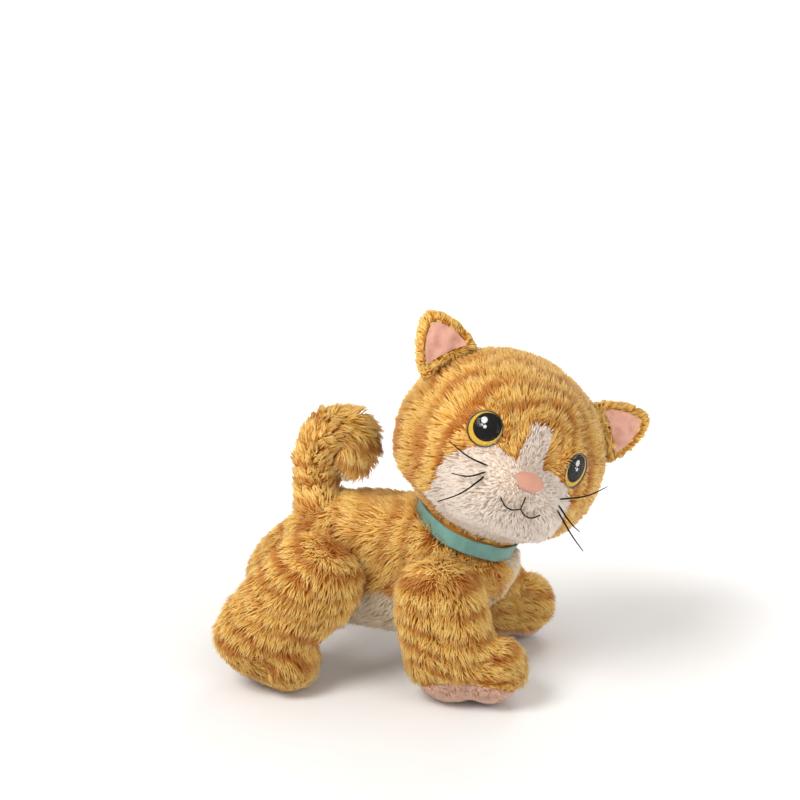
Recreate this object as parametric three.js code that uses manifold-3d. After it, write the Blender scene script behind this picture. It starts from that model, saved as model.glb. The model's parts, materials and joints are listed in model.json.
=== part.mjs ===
// A stuffed plush cat that stands on four paws, with its head turned to its right.
// Millimetres, +X towards the chest, +Y to the cat's left, +Z up, floor at z = 0.
// Every soft part is a plush skin with stuffing inside, closed by a panel or a sole pad.
import * as THREE from 'three';
import { mergeVertices } from 'three/addons/utils/BufferGeometryUtils.js';
import Module from 'manifold-3d';

const wasm = await Module();
wasm.setup();

// ---- driving dimensions ----------------------------------------------------------
const GAP = 0.3; // clearance between touching pieces
const PLUSH = 6; // backing cloth and pile together
const REACH = 400; // size of a cutting block, larger than the cat

const TORSO = { centre: [-22, 0, 70], radii: [78, 43, 46] };
const FLANK = 32; // half width of the torso where a leg is sewn on
const PANEL = { halfWidth: 60, top: 60, chestHalfWidth: 13, chestBack: 22, back: -88 };

const NECK = { centre: [24, 0, 97], lean: 24, ball: 32.5, core: 25.5, clearance: 1.3 };
const NECK_OPENING = 38; // angle from the neck axis at which the sleeve ends
const COLLAR = { inner: 33.2, outer: 34.6, halfHeight: 5 };
const HEAD_RISE = 24; // degrees above the collar where the head begins
const TORSO_DROP = 10; // degrees below the collar where the torso begins

const HEAD = { centre: [46.5, -4, 149], yaw: -62, pitch: -10, roll: -28.5 };
const CRANIUM = { centre: [-4, 0, 0], radii: [56, 67, 62] };
const MUZZLE = { centre: [36, 0, -27], radii: [31, 38, 31] };
const MASK = { middle: -32, halfWidth: 40, halfHeight: 33, blazeHalfWidth: 8, blazeTop: 21 };

const EYE = { centre: [42, 31, 6], outward: 36, radius: 11.4, recess: 12.1 };
const IRIS_RADIUS = 10.3;
const DOME_HEIGHT = 5.2;
const POST = { radius: 2.4, length: 12 };
const WASHER = { radius: 7.5, hole: 2.8, thickness: 1.5, depth: 8.5 };

const NOSE = { height: -15.5, halfWidth: 8.5, halfHeight: 5.8, thickness: 4.5 };
const STITCH_RADIUS = 0.7;
const WHISKER_RADIUS = 0.45;
const WHISKER_ROOT = 26; // how far from the middle of the muzzle the bristles start
// Heights of each bristle's root and end, and how far sideways it reaches.
const WHISKERS = {
  right: { top: [-14, -10, 51], middle: [-18, -27, 42], bottom: [-21, -46, 43] },
  left: { top: [-14, 6, 56], middle: [-18, -27, 50], bottom: [-21, -37, 57] },
};

const EAR = { spread: 57, halfWidth: 17.5, height: 30.5, thickness: 5.5, lining: 2.2, lean: 8, stand: 2.4 };

const TAIL = { root: [-72, 0, 103], ball: 14, clearance: 1.4, plush: 3.5, slack: 1.2, mouth: -10 };
const TAIL_RISE = { points: [[-72, 0, 103], [-75, 0, 124], [-73, 0, 144], [-65, 0, 155]], radii: [12, 12] };
const TAIL_CURL = { points: [[-65, 0, 155], [-54, 0, 158], [-47, 0, 150], [-49, 0, 137]], radii: [11.8, 9] };

const LEGS = {
  front_right: { side: -1, hip: [14, 60], knee: [19, 42], ankle: [24, 27], toe: [49, 22],
    reach: [42, 54, 55], radii: [28, 28.5], toeRadii: [21, 24, 22], pad: { height: 10, tilt: 16, pitch: 0 } },
  front_left: { side: 1, hip: [14, 60], knee: [23, 44], ankle: [32, 25.5], toe: [54, 21.5],
    reach: [42, 54, 56], radii: [28, 27], toeRadii: [19, 23, 22], pad: { height: 10, tilt: 16, pitch: 0 } },
  hind_right: { side: -1, hip: [-67, 67], knee: [-84, 50], ankle: [-99, 33], toe: [-82, 21.3],
    reach: [42, 54, 56], radii: [31, 29], toeRadii: [21, 25, 22], pad: { height: 1, tilt: 6, pitch: 28 } },
  hind_left: { side: 1, hip: [-67, 67], knee: [-88, 51], ankle: [-106, 34], toe: [-92, 21.3],
    reach: [42, 54, 56], radii: [31, 29], toeRadii: [21, 25, 22], pad: { height: 1, tilt: 6, pitch: 28 } },
};
const THIGH = { width: 36, inset: 34 }; // how far the rounded thigh stands out, and from where

const FUR = { color: 0xe0ac62, roughness: 0.95 };
const WHITE_FUR = { color: 0xe9dccb, roughness: 0.95 };
const STUFFING = { color: 0xf4f1ea, roughness: 1 };
const PINK_CLOTH = { color: 0xe0b09a, roughness: 0.8 };
const RIBBON = { color: 0x7fb5a8, roughness: 0.5 };
const BLACK_THREAD = { color: 0x1c1814, roughness: 0.6 };
const BLACK_PLASTIC = { color: 0x0b0908, roughness: 0.2 };
const AMBER_PRINT = { color: 0xb8862b, roughness: 0.35 };
const CLEAR_PLASTIC = { color: 0xe8eef0, roughness: 0.05 };
const WASHER_PLASTIC = { color: 0xdcdcd4, roughness: 0.5 };

// ---- solids ----------------------------------------------------------------------
const FINE = [16, 9];
const COARSE = [9, 6];
const radians = THREE.MathUtils.degToRad;

/** A closed geometry, moved by a matrix, as a solid that can be joined and cut. */
function solidOf(geometry, matrix = new THREE.Matrix4()) {
  const bare = geometry.clone().applyMatrix4(matrix);
  bare.deleteAttribute('normal');
  bare.deleteAttribute('uv');
  const merged = mergeVertices(bare, 1e-4);
  return new wasm.Manifold(new wasm.Mesh({
    numProp: 3,
    vertProperties: new Float32Array(merged.attributes.position.array),
    triVerts: new Uint32Array(merged.index.array),
  }));
}

/** The named, coloured mesh of a solid. */
function piece(name, solid, look) {
  const { vertProperties, triVerts } = solid.getMesh();
  const geometry = new THREE.BufferGeometry();
  geometry.setAttribute('position', new THREE.BufferAttribute(vertProperties, 3));
  geometry.setIndex(new THREE.BufferAttribute(triVerts, 1));
  geometry.computeVertexNormals();
  const mesh = new THREE.Mesh(geometry, new THREE.MeshStandardMaterial(look));
  mesh.name = name;
  return mesh;
}

const union = (solids) => solids.reduce((joined, solid) => joined.add(solid));

function ellipsoid(centre, radii, detail) {
  const matrix = new THREE.Matrix4().makeScale(...radii).setPosition(...centre);
  return solidOf(new THREE.SphereGeometry(1, ...detail), matrix);
}

function ball(centre, radius, detail = [20, 13]) {
  return ellipsoid(centre, [radius, radius, radius], detail);
}

/** A block that fills the space on the side of a point to which a direction looks. */
function halfSpace(point, direction) {
  const normal = new THREE.Vector3(...direction).normalize();
  const turn = new THREE.Quaternion().setFromUnitVectors(new THREE.Vector3(0, 0, 1), normal);
  const middle = new THREE.Vector3(...point).addScaledVector(normal, REACH / 2);
  const matrix = new THREE.Matrix4().compose(middle, turn, new THREE.Vector3(1, 1, 1));
  return solidOf(new THREE.BoxGeometry(REACH, REACH, REACH), matrix);
}

/** A round limb that bends along a curve and tapers from its first radius to its last. */
function limb({ points, radii }, inset, sides = 16, steps = 7) {
  const curve = new THREE.CatmullRomCurve3(points.map((point) => new THREE.Vector3(...point)));
  const geometry = new THREE.CapsuleGeometry(1, 1, 3, sides, steps);
  const position = geometry.attributes.position;
  const side = new THREE.Vector3(0, 1, 0);
  for (let i = 0; i < position.count; i += 1) {
    const along = position.getY(i);
    const t = THREE.MathUtils.clamp(along + 0.5, 0, 1);
    const radius = THREE.MathUtils.lerp(radii[0], radii[1], t) - inset;
    const cap = along + 0.5 - t;
    const tangent = curve.getTangent(t);
    const across = new THREE.Vector3().crossVectors(tangent, side).normalize();
    const lateral = new THREE.Vector3().crossVectors(across, tangent);
    const vertex = curve.getPoint(t)
      .addScaledVector(lateral, position.getX(i) * radius)
      .addScaledVector(across, -position.getZ(i) * radius)
      .addScaledVector(tangent, cap * radius);
    position.setXYZ(i, vertex.x, vertex.y, vertex.z);
  }
  return solidOf(geometry);
}

/** A bar of thread that follows a smooth curve. */
function thread(points, radius) {
  const path = new THREE.CatmullRomCurve3(points.map((point) => new THREE.Vector3(...point)));
  const section = new THREE.Shape().absarc(0, 0, radius, 0, 2 * Math.PI);
  const options = { extrudePath: path, steps: 6, curveSegments: 3, bevelEnabled: false };
  return solidOf(new THREE.ExtrudeGeometry(section, options));
}

/** A solid of revolution about +Z from a list of [radius, height] points. */
function turned(profile, matrix, sides = 20) {
  const points = profile.map(([radius, height]) => new THREE.Vector2(radius, height));
  const upright = new THREE.Matrix4().makeRotationX(Math.PI / 2);
  return solidOf(new THREE.LatheGeometry(points, sides), matrix.clone().multiply(upright));
}

// ---- neck: everything here is round about one leaning axis through one pivot --------
const neckFrame = new THREE.Matrix4()
  .makeRotationY(radians(NECK.lean))
  .setPosition(...NECK.centre);

/** What the neck's ball and the space round the collar take away from the head. */
function aboveTheHeadEdge(inset) {
  const rise = radians(HEAD_RISE);
  const rim = [REACH * Math.cos(rise), REACH * Math.sin(rise) + inset / Math.cos(rise)];
  const apron = [[0, inset / Math.cos(rise)], rim, [REACH, -REACH], [0, -REACH]];
  const socket = ball(NECK.centre, NECK.ball + NECK.clearance + inset);
  return turned(apron.reverse(), neckFrame, 24).add(socket);
}

/** What the neck's ball and the space round the collar take away from the torso. */
function belowTheTorsoEdge(inset) {
  const drop = radians(TORSO_DROP);
  const rim = [REACH * Math.cos(drop), -REACH * Math.sin(drop) - inset / Math.cos(drop)];
  const hood = [[0, REACH], [REACH, REACH], rim, [0, -inset / Math.cos(drop)]];
  const socket = ball(NECK.centre, NECK.ball + NECK.clearance + inset);
  return turned(hood.reverse(), neckFrame, 24).add(socket);
}

function neckPieces() {
  const opening = radians(NECK_OPENING);
  const inner = NECK.core + 1;
  const steps = 7;
  const outerArc = [];
  const innerArc = [];
  for (let i = 0; i <= steps; i += 1) {
    const angle = opening + (Math.PI - 2 * opening) * (i / steps);
    outerArc.push([NECK.ball * Math.sin(angle), -NECK.ball * Math.cos(angle)]);
    innerArc.push([inner * Math.sin(angle), inner * Math.cos(angle)]);
  }
  const sleeve = turned([...outerArc, ...innerArc, outerArc[0]], neckFrame);
  const band = [[COLLAR.inner, -COLLAR.halfHeight], [COLLAR.outer, -COLLAR.halfHeight],
    [COLLAR.outer, COLLAR.halfHeight], [COLLAR.inner, COLLAR.halfHeight], [COLLAR.inner, -COLLAR.halfHeight]];
  return [
    piece('neck_stuffing', ball(NECK.centre, NECK.core, [16, 10]), STUFFING),
    piece('neck_sleeve', sleeve, FUR),
    piece('collar_band', turned(band, neckFrame, 36), RIBBON),
  ];
}

// ---- torso -------------------------------------------------------------------------
function torsoForm(inset) {
  const radii = TORSO.radii.map((radius) => radius - inset);
  const width = 2 * (FLANK - inset - GAP);
  const flanks = solidOf(new THREE.BoxGeometry(REACH, width, REACH));
  const tailSocket = ball(TAIL.root, TAIL.ball + TAIL.clearance + inset, [16, 10]);
  return ellipsoid(TORSO.centre, radii, inset > 0 ? COARSE : FINE)
    .intersect(flanks)
    .subtract(belowTheTorsoEdge(inset))
    .subtract(tailSocket);
}

/** The space of the white panel that runs from the chest along the belly. */
function panelSpace(margin) {
  const belly = new THREE.BoxGeometry(REACH, 2 * (PANEL.halfWidth + margin), REACH);
  const chest = new THREE.BoxGeometry(REACH, 2 * (PANEL.chestHalfWidth + margin), REACH);
  const under = new THREE.Matrix4()
    .makeTranslation(PANEL.back - margin + REACH / 2, 0, PANEL.top + margin - REACH / 2);
  const ahead = new THREE.Matrix4().makeTranslation(PANEL.chestBack - margin + REACH / 2, 0, 0);
  return solidOf(belly, under).add(solidOf(chest, ahead));
}

function torsoPieces() {
  const shell = torsoForm(0).subtract(torsoForm(PLUSH));
  return [
    piece('torso_skin', shell.subtract(panelSpace(GAP)), FUR),
    piece('belly_panel', shell.intersect(panelSpace(0)), WHITE_FUR),
    piece('torso_stuffing', torsoForm(PLUSH + GAP), STUFFING),
  ];
}

// ---- legs --------------------------------------------------------------------------
function legForm(leg, inset) {
  const { side, hip, knee, ankle, toe, reach, radii, toeRadii } = leg;
  const bone = [[hip[0], side * reach[0], hip[1]], [knee[0], side * (reach[0] + reach[1]) / 2, knee[1]],
    [ankle[0], side * reach[1], ankle[1]]];
  const detail = inset > 0 ? COARSE : FINE;
  const thighCentre = [hip[0], side * THIGH.inset, hip[1]];
  const solid = union([
    ellipsoid(thighCentre, [radii[0], THIGH.width, radii[0]].map((radius) => radius - inset), detail),
    limb({ points: bone, radii }, inset, detail[0] - 2, 3),
    ellipsoid([toe[0], side * reach[2], toe[1]], toeRadii.map((radius) => radius - inset), detail),
  ]);
  return solid
    .intersect(halfSpace([0, side * (FLANK + inset), 0], [0, side, 0]))
    .intersect(halfSpace([0, 0, inset], [0, 0, 1]));
}

/** The space under the slanting seam where the sole pad is sewn on. */
function soleSpace({ side, toe, reach, pad }, margin) {
  const tilt = radians(pad.tilt) * side;
  const pitch = radians(pad.pitch);
  const down = [-Math.sin(pitch), Math.sin(tilt), -Math.cos(pitch) * Math.cos(tilt)];
  return halfSpace([toe[0], side * reach[2], pad.height + margin], down);
}

function legPieces(name, leg) {
  const shell = legForm(leg, 0).subtract(legForm(leg, PLUSH));
  return [
    piece(`leg_${name}_skin`, shell.subtract(soleSpace(leg, GAP)), FUR),
    piece(`leg_${name}_sole_pad`, shell.intersect(soleSpace(leg, 0)), PINK_CLOTH),
    piece(`leg_${name}_stuffing`, legForm(leg, PLUSH + GAP), STUFFING),
  ];
}

// ---- tail --------------------------------------------------------------------------
function tailForm(inset) {
  const root = ball(TAIL.root, TAIL.ball - inset, [14, 9]);
  return union([root, limb(TAIL_RISE, inset, 10, 4), limb(TAIL_CURL, inset, 10, 5)]);
}

function tailPieces() {
  const mouth = TAIL.root[2] + TAIL.mouth;
  const skin = tailForm(0).intersect(halfSpace([0, 0, mouth], [0, 0, 1])).subtract(tailForm(TAIL.plush));
  const filling = tailForm(TAIL.plush + TAIL.slack).intersect(halfSpace([0, 0, mouth + GAP], [0, 0, 1]));
  return [piece('tail_skin', skin, FUR), piece('tail_stuffing', filling, STUFFING)];
}

// ---- head: modelled facing +X about its own centre ----------------------------------
const headFrame = new THREE.Matrix4()
  .makeRotationFromEuler(new THREE.Euler(radians(HEAD.roll), radians(HEAD.pitch), radians(HEAD.yaw), 'ZYX'))
  .setPosition(...HEAD.centre);

/** Carries a solid of the cat's frame into the head's frame. */
function inHeadFrame(solid) {
  return solid.transform(headFrame.clone().invert().elements);
}

function eyeFrame(side) {
  const [x, y, z] = EYE.centre;
  return new THREE.Matrix4().makeRotationZ(side * radians(EYE.outward)).setPosition(x, side * y, z);
}

/** A solid turned about the eye's own axis, which points out of the face. */
function turnedAtEye(side, profile, sides = 18) {
  const outwards = eyeFrame(side).multiply(new THREE.Matrix4().makeRotationY(Math.PI / 2));
  return turned(profile, outwards, sides);
}

function eyeRecess(side) {
  const far = 40;
  return turnedAtEye(side, [[0, -GAP], [EYE.recess, -GAP], [EYE.recess, far], [0, far]]);
}

function postHole(side, margin) {
  const radius = POST.radius + margin;
  return turnedAtEye(side, [[0, -REACH / 10], [radius, -REACH / 10], [radius, 1], [0, 1]], 12);
}

function headForm(inset) {
  const detail = inset > 0 ? [14, 9] : [20, 13];
  const shrink = ({ centre, radii }) => ellipsoid(centre, radii.map((radius) => radius - inset), detail);
  return shrink(CRANIUM).add(shrink(MUZZLE)).subtract(inHeadFrame(aboveTheHeadEdge(inset)));
}

/** The space of the white face mask: a wide oval below and a tapered blaze up the brow. */
function maskSpace(margin) {
  const { middle, halfWidth, halfHeight, blazeHalfWidth, blazeTop } = MASK;
  const oval = new THREE.Shape()
    .absellipse(0, middle, halfWidth + margin, halfHeight + margin, 0, 2 * Math.PI);
  const blaze = new THREE.Shape();
  blaze.moveTo(-2 * blazeHalfWidth - margin, middle);
  blaze.lineTo(2 * blazeHalfWidth + margin, middle);
  blaze.lineTo(blazeHalfWidth + margin, 0);
  blaze.quadraticCurveTo(blazeHalfWidth / 2 + margin, blazeTop + margin, 0, blazeTop + margin);
  blaze.quadraticCurveTo(-blazeHalfWidth / 2 - margin, blazeTop + margin, -blazeHalfWidth - margin, 0);
  const options = { depth: 100, curveSegments: 12, bevelEnabled: false };
  const facing = new THREE.Matrix4().set(0, 0, 1, 12, 1, 0, 0, 0, 0, 1, 0, 0, 0, 0, 0, 1);
  return solidOf(new THREE.ExtrudeGeometry(oval, options), facing)
    .add(solidOf(new THREE.ExtrudeGeometry(blaze, options), facing));
}

/** A point on the muzzle's surface, lifted off it along +X. */
function onMuzzle(y, z, lift) {
  const { centre, radii } = MUZZLE;
  const rest = 1 - (y / radii[1]) ** 2 - ((z - centre[2]) / radii[2]) ** 2;
  return [centre[0] + radii[0] * Math.sqrt(rest) + lift, y, z];
}

function noseSolid() {
  const { height, halfWidth, halfHeight } = NOSE;
  const outline = new THREE.Shape();
  outline.moveTo(0, height - halfHeight);
  outline.bezierCurveTo(halfWidth * 0.6, height - halfHeight, halfWidth * 1.3, height + halfHeight * 0.7,
    halfWidth * 0.7, height + halfHeight);
  outline.quadraticCurveTo(0, height + halfHeight * 1.25, -halfWidth * 0.7, height + halfHeight);
  outline.bezierCurveTo(-halfWidth * 1.3, height + halfHeight * 0.7, -halfWidth * 0.6, height - halfHeight,
    0, height - halfHeight);
  const front = onMuzzle(0, height, 0)[0];
  const facing = new THREE.Matrix4().set(0, 0, 1, front - 4, 1, 0, 0, 0, 0, 1, 0, 0, 0, 0, 0, 1);
  const options = { depth: NOSE.thickness, curveSegments: 6, bevelEnabled: false };
  return solidOf(new THREE.ExtrudeGeometry(outline, options), facing).subtract(headForm(-GAP));
}

function mouthSolid() {
  const lift = STITCH_RADIUS + GAP + 0.4;
  const follow = (marks) => thread(marks.map(([y, z]) => onMuzzle(y, z, lift)), STITCH_RADIUS);
  const smile = (side) => follow([[0, -29.5], [side * 4, -32], [side * 9, -32], [side * 14, -28]]);
  return union([follow([[0, -21.7], [0, -25.5], [0, -30]]), smile(1), smile(-1)]);
}

/** Three bristles on one cheek, fanned from the same spot of the muzzle. */
function whiskerSolids(name, side) {
  return Object.entries(WHISKERS[name]).map(([place, [root, end, reach]]) => {
    const start = onMuzzle(side * WHISKER_ROOT, root, 1);
    const tip = [start[0] - 10, side * reach, end];
    const middle = [(start[0] + tip[0]) / 2 + 4, (start[1] + tip[1]) / 2, (root + end) / 2 - 2];
    return [place, thread([start, middle, tip], WHISKER_RADIUS)];
  });
}

function eyePieces(name, side) {
  const { radius } = EYE;
  const cup = [[0, -POST.length], [POST.radius, -POST.length], [POST.radius, 0], [radius, 0], [radius, 2.6],
    [IRIS_RADIUS + GAP, 2.6], [IRIS_RADIUS + GAP, 1.2], [0, 1.2]];
  const iris = [[0, 1.5], [IRIS_RADIUS, 1.5], [IRIS_RADIUS, 2.2], [0, 2.2]];
  const dome = [[0, 2.6], [IRIS_RADIUS, 2.6]];
  for (let i = 1; i <= 5; i += 1) {
    const angle = (i / 5) * (Math.PI / 2);
    dome.push([IRIS_RADIUS * Math.cos(angle), 2.9 + DOME_HEIGHT * Math.sin(angle)]);
  }
  dome[dome.length - 1][0] = 0;
  const back = -WASHER.depth;
  const washer = [[WASHER.hole, back - WASHER.thickness], [WASHER.radius, back - WASHER.thickness],
    [WASHER.radius, back], [WASHER.hole, back], [WASHER.hole, back - WASHER.thickness]];
  return [
    piece(`eye_${name}_cup`, turnedAtEye(side, cup), BLACK_PLASTIC),
    piece(`eye_${name}_iris`, turnedAtEye(side, iris), AMBER_PRINT),
    piece(`eye_${name}_dome`, turnedAtEye(side, dome), CLEAR_PLASTIC),
    piece(`eye_${name}_washer`, turnedAtEye(side, washer, 16), WASHER_PLASTIC),
  ];
}

/** The room that an eye's washer and post take in the stuffing. */
function washerRoom(side) {
  const radius = WASHER.radius + GAP;
  const deep = -POST.length - GAP;
  return turnedAtEye(side, [[0, deep], [radius, deep], [radius, 1], [0, 1]], 16);
}

function headPieces() {
  const sides = { right: -1, left: 1 };
  const recesses = union(Object.values(sides).map((side) => eyeRecess(side).add(postHole(side, 0.4))));
  const rooms = union(Object.values(sides).map(washerRoom));
  const shell = headForm(0).subtract(headForm(PLUSH)).subtract(recesses);
  const pieces = [
    piece('head_skin', shell.subtract(maskSpace(GAP)), FUR),
    piece('muzzle_panel', shell.intersect(maskSpace(0)), WHITE_FUR),
    piece('head_stuffing', headForm(PLUSH + GAP).subtract(rooms), STUFFING),
    piece('nose', noseSolid(), PINK_CLOTH),
    piece('mouth_stitching', mouthSolid(), BLACK_THREAD),
  ];
  for (const [name, side] of Object.entries(sides)) {
    pieces.push(...eyePieces(name, side), ...earPieces(name, side));
    for (const [place, solid] of whiskerSolids(name, side)) {
      pieces.push(piece(`whisker_${name}_${place}`, solid, BLACK_THREAD));
    }
  }
  return pieces;
}

// ---- ears --------------------------------------------------------------------------
/** The ear's frame: +X across its width, +Y to its tip, +Z out of the lining. */
function earFrame(side) {
  const spread = radians(EAR.spread);
  const radius = 1 / Math.hypot(Math.sin(spread) / CRANIUM.radii[1], Math.cos(spread) / CRANIUM.radii[2]);
  const root = radius + EAR.stand;
  const lean = radians(EAR.spread - EAR.lean);
  const tip = new THREE.Vector3(0, side * Math.sin(lean), Math.cos(lean));
  const front = new THREE.Vector3(1, 0, 0);
  const across = new THREE.Vector3().crossVectors(tip, front);
  return new THREE.Matrix4().makeBasis(across, tip, front)
    .setPosition(0, side * root * Math.sin(spread), root * Math.cos(spread));
}

function earOutline(margin) {
  const half = EAR.halfWidth - margin;
  const top = EAR.height - 1.6 * margin;
  const outline = new THREE.Shape();
  outline.moveTo(-half, margin);
  outline.quadraticCurveTo(0, margin + 3.5, half, margin);
  outline.bezierCurveTo(half, top * 0.45, half * 0.45, top * 0.9, 2, top);
  outline.quadraticCurveTo(0, top + 1, -2, top);
  outline.bezierCurveTo(-half * 0.45, top * 0.9, -half, top * 0.45, -half, margin);
  return outline;
}

/** A flat slice of the ear between two depths, its outline drawn in by a margin. */
function earSlice(margin, from, to) {
  const options = { depth: to - from, curveSegments: 6, bevelEnabled: false };
  return solidOf(new THREE.ExtrudeGeometry(earOutline(margin), options),
    new THREE.Matrix4().makeTranslation(0, 0, from));
}

function earPieces(name, side) {
  const back = -EAR.thickness / 2;
  const front = EAR.thickness / 2;
  const place = (solid) => solid.transform(earFrame(side).elements);
  const outer = earSlice(0, back, front).subtract(earSlice(3, front - EAR.lining - GAP, REACH));
  const lining = earSlice(3 + GAP, front - EAR.lining, front - 0.2);
  return [
    piece(`ear_${name}_outer`, place(outer), FUR),
    piece(`ear_${name}_lining`, place(lining), PINK_CLOTH),
  ];
}

// ---- assembly ----------------------------------------------------------------------
const head = new THREE.Group();
head.applyMatrix4(headFrame);
head.add(...headPieces());

const cat = new THREE.Group();
cat.add(...torsoPieces(), ...neckPieces(), ...tailPieces(), head);
for (const [name, leg] of Object.entries(LEGS)) {
  cat.add(...legPieces(name, leg));
}

// The middle of the cat's outline stands over the origin, and its soles on z = 0.
cat.updateMatrixWorld(true);
const middle = new THREE.Box3().setFromObject(cat, true).getCenter(new THREE.Vector3());
const group = new THREE.Group();
group.add(cat);
cat.position.set(-middle.x, -middle.y, 0);

export default group;
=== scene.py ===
"""A standing plush cat: stuffed cloth, pile, eyes, ears, ribbon and whiskers, built round its frame."""

import json
import logging
import math
from dataclasses import dataclass
from enum import Enum
from typing import Callable, Optional, Sequence

import bpy
import numpy as np
from mathutils import Matrix, Vector
from mathutils.bvhtree import BVHTree
from mathutils.kdtree import KDTree

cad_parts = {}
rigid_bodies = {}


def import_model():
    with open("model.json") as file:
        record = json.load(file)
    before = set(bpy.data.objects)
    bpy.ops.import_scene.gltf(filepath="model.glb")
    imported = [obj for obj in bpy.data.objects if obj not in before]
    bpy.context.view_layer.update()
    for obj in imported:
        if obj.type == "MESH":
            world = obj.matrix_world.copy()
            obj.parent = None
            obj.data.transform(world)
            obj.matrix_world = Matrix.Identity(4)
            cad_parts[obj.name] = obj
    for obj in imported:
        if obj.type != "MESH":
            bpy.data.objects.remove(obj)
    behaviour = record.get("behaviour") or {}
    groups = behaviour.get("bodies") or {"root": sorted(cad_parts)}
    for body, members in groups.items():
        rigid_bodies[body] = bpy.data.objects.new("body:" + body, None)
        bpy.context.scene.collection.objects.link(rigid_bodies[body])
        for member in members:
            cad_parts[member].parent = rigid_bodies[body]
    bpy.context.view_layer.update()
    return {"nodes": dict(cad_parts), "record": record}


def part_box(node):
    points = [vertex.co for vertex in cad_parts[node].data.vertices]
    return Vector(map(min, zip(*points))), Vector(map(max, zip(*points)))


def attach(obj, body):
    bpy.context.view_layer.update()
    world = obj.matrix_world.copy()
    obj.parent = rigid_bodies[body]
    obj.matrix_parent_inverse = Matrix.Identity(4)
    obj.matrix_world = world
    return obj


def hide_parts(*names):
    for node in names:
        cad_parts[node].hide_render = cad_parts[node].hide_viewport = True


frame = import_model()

LOG = logging.getLogger("plush_cat")
MM = 0.001
UP = np.array([0.0, 0.0, 1.0])
SIDES: dict[str, int] = {"right": -1, "left": 1}

Field = Callable[[np.ndarray], np.ndarray]
Colour = tuple[float, float, float, float]


class Slot(Enum):
    """The names of the material slots, passed along with each coat and eye piece."""

    ORANGE_PLUSH = "orange_plush"
    WHITE_PLUSH = "white_plush"
    PINK_PILE = "pink_pile"
    STUFFING = "stuffing"
    PINK_SATIN = "pink_satin"
    PINK_FELT = "pink_felt"
    TEAL_RIBBON = "teal_ribbon"
    BLACK_THREAD = "black_thread"
    BLACK_PLASTIC = "black_plastic"
    PRINTED_IRIS = "printed_iris"
    CLEAR_PLASTIC = "clear_plastic"


def srgb(red: int, green: int, blue: int) -> Colour:
    """A screen colour as the linear colour that shaders take."""
    linear = [(c / 255) ** 2.2 for c in (red, green, blue)]
    return (linear[0], linear[1], linear[2], 1.0)


def unit(vectors: np.ndarray) -> np.ndarray:
    """The same vectors at length one."""
    length = np.linalg.norm(vectors, axis=-1, keepdims=True)
    return vectors / np.maximum(length, 1e-9)


def smooth_step(low: float, high: float, values: np.ndarray) -> np.ndarray:
    """0 below low, 1 above high and a soft ramp between."""
    t = np.clip((values - low) / (high - low), 0.0, 1.0)
    return t * t * (3 - 2 * t)


class Ripple:
    """A smooth, seeded, wandering field made of a few crossing waves."""

    def __init__(self, seed: int, size_mm: float, waves: int = 7) -> None:
        """Args: seed: picks the waves; size_mm: their typical wavelength; waves: how many."""
        draw = np.random.default_rng(seed)
        spread = draw.uniform(0.6, 1.5, (waves, 1))
        self.waves = unit(draw.normal(size=(waves, 3))) * spread * 2 * math.pi / (size_mm * MM)
        self.phases = draw.uniform(0, 2 * math.pi, waves)

    def __call__(self, points: np.ndarray) -> np.ndarray:
        """The field's value at each point, about -1 to 1."""
        return np.sin(points @ self.waves.T + self.phases).sum(axis=1) / math.sqrt(len(self.phases))


# ---- shader maths ------------------------------------------------------------------------
class Shade:
    """A value or colour socket of a material that is being written, with arithmetic."""

    def __init__(self, material: "Recipe", socket: bpy.types.NodeSocket) -> None:
        """Args: material: the recipe it belongs to; socket: the output it stands for."""
        self.material = material
        self.socket = socket

    def _math(self, operation: str, *values: "Shade | float") -> "Shade":
        """Adds one Math node on these values."""
        return self.material.node("ShaderNodeMath", {"operation": operation}, dict(enumerate(values)))

    def __add__(self, other: "Shade | float") -> "Shade":
        """Sum."""
        return self._math("ADD", self, other)

    def __radd__(self, other: float) -> "Shade":
        """Sum with the number first."""
        return self._math("ADD", other, self)

    def __sub__(self, other: "Shade | float") -> "Shade":
        """Difference."""
        return self._math("SUBTRACT", self, other)

    def __rsub__(self, other: float) -> "Shade":
        """Difference with the number first."""
        return self._math("SUBTRACT", other, self)

    def __mul__(self, other: "Shade | float") -> "Shade":
        """Product."""
        return self._math("MULTIPLY", self, other)

    def __rmul__(self, other: float) -> "Shade":
        """Product with the number first."""
        return self._math("MULTIPLY", other, self)

    def ramp(self, low: float, high: float) -> "Shade":
        """A soft rise from 0 at low to 1 at high."""
        settings = {"interpolation_type": "SMOOTHSTEP", "clamp": True}
        return self.material.node("ShaderNodeMapRange", settings, {0: self, 1: low, 2: high, 3: 0.0, 4: 1.0})

    def sine(self) -> "Shade":
        """Sine."""
        return self._math("SINE", self)


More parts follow.
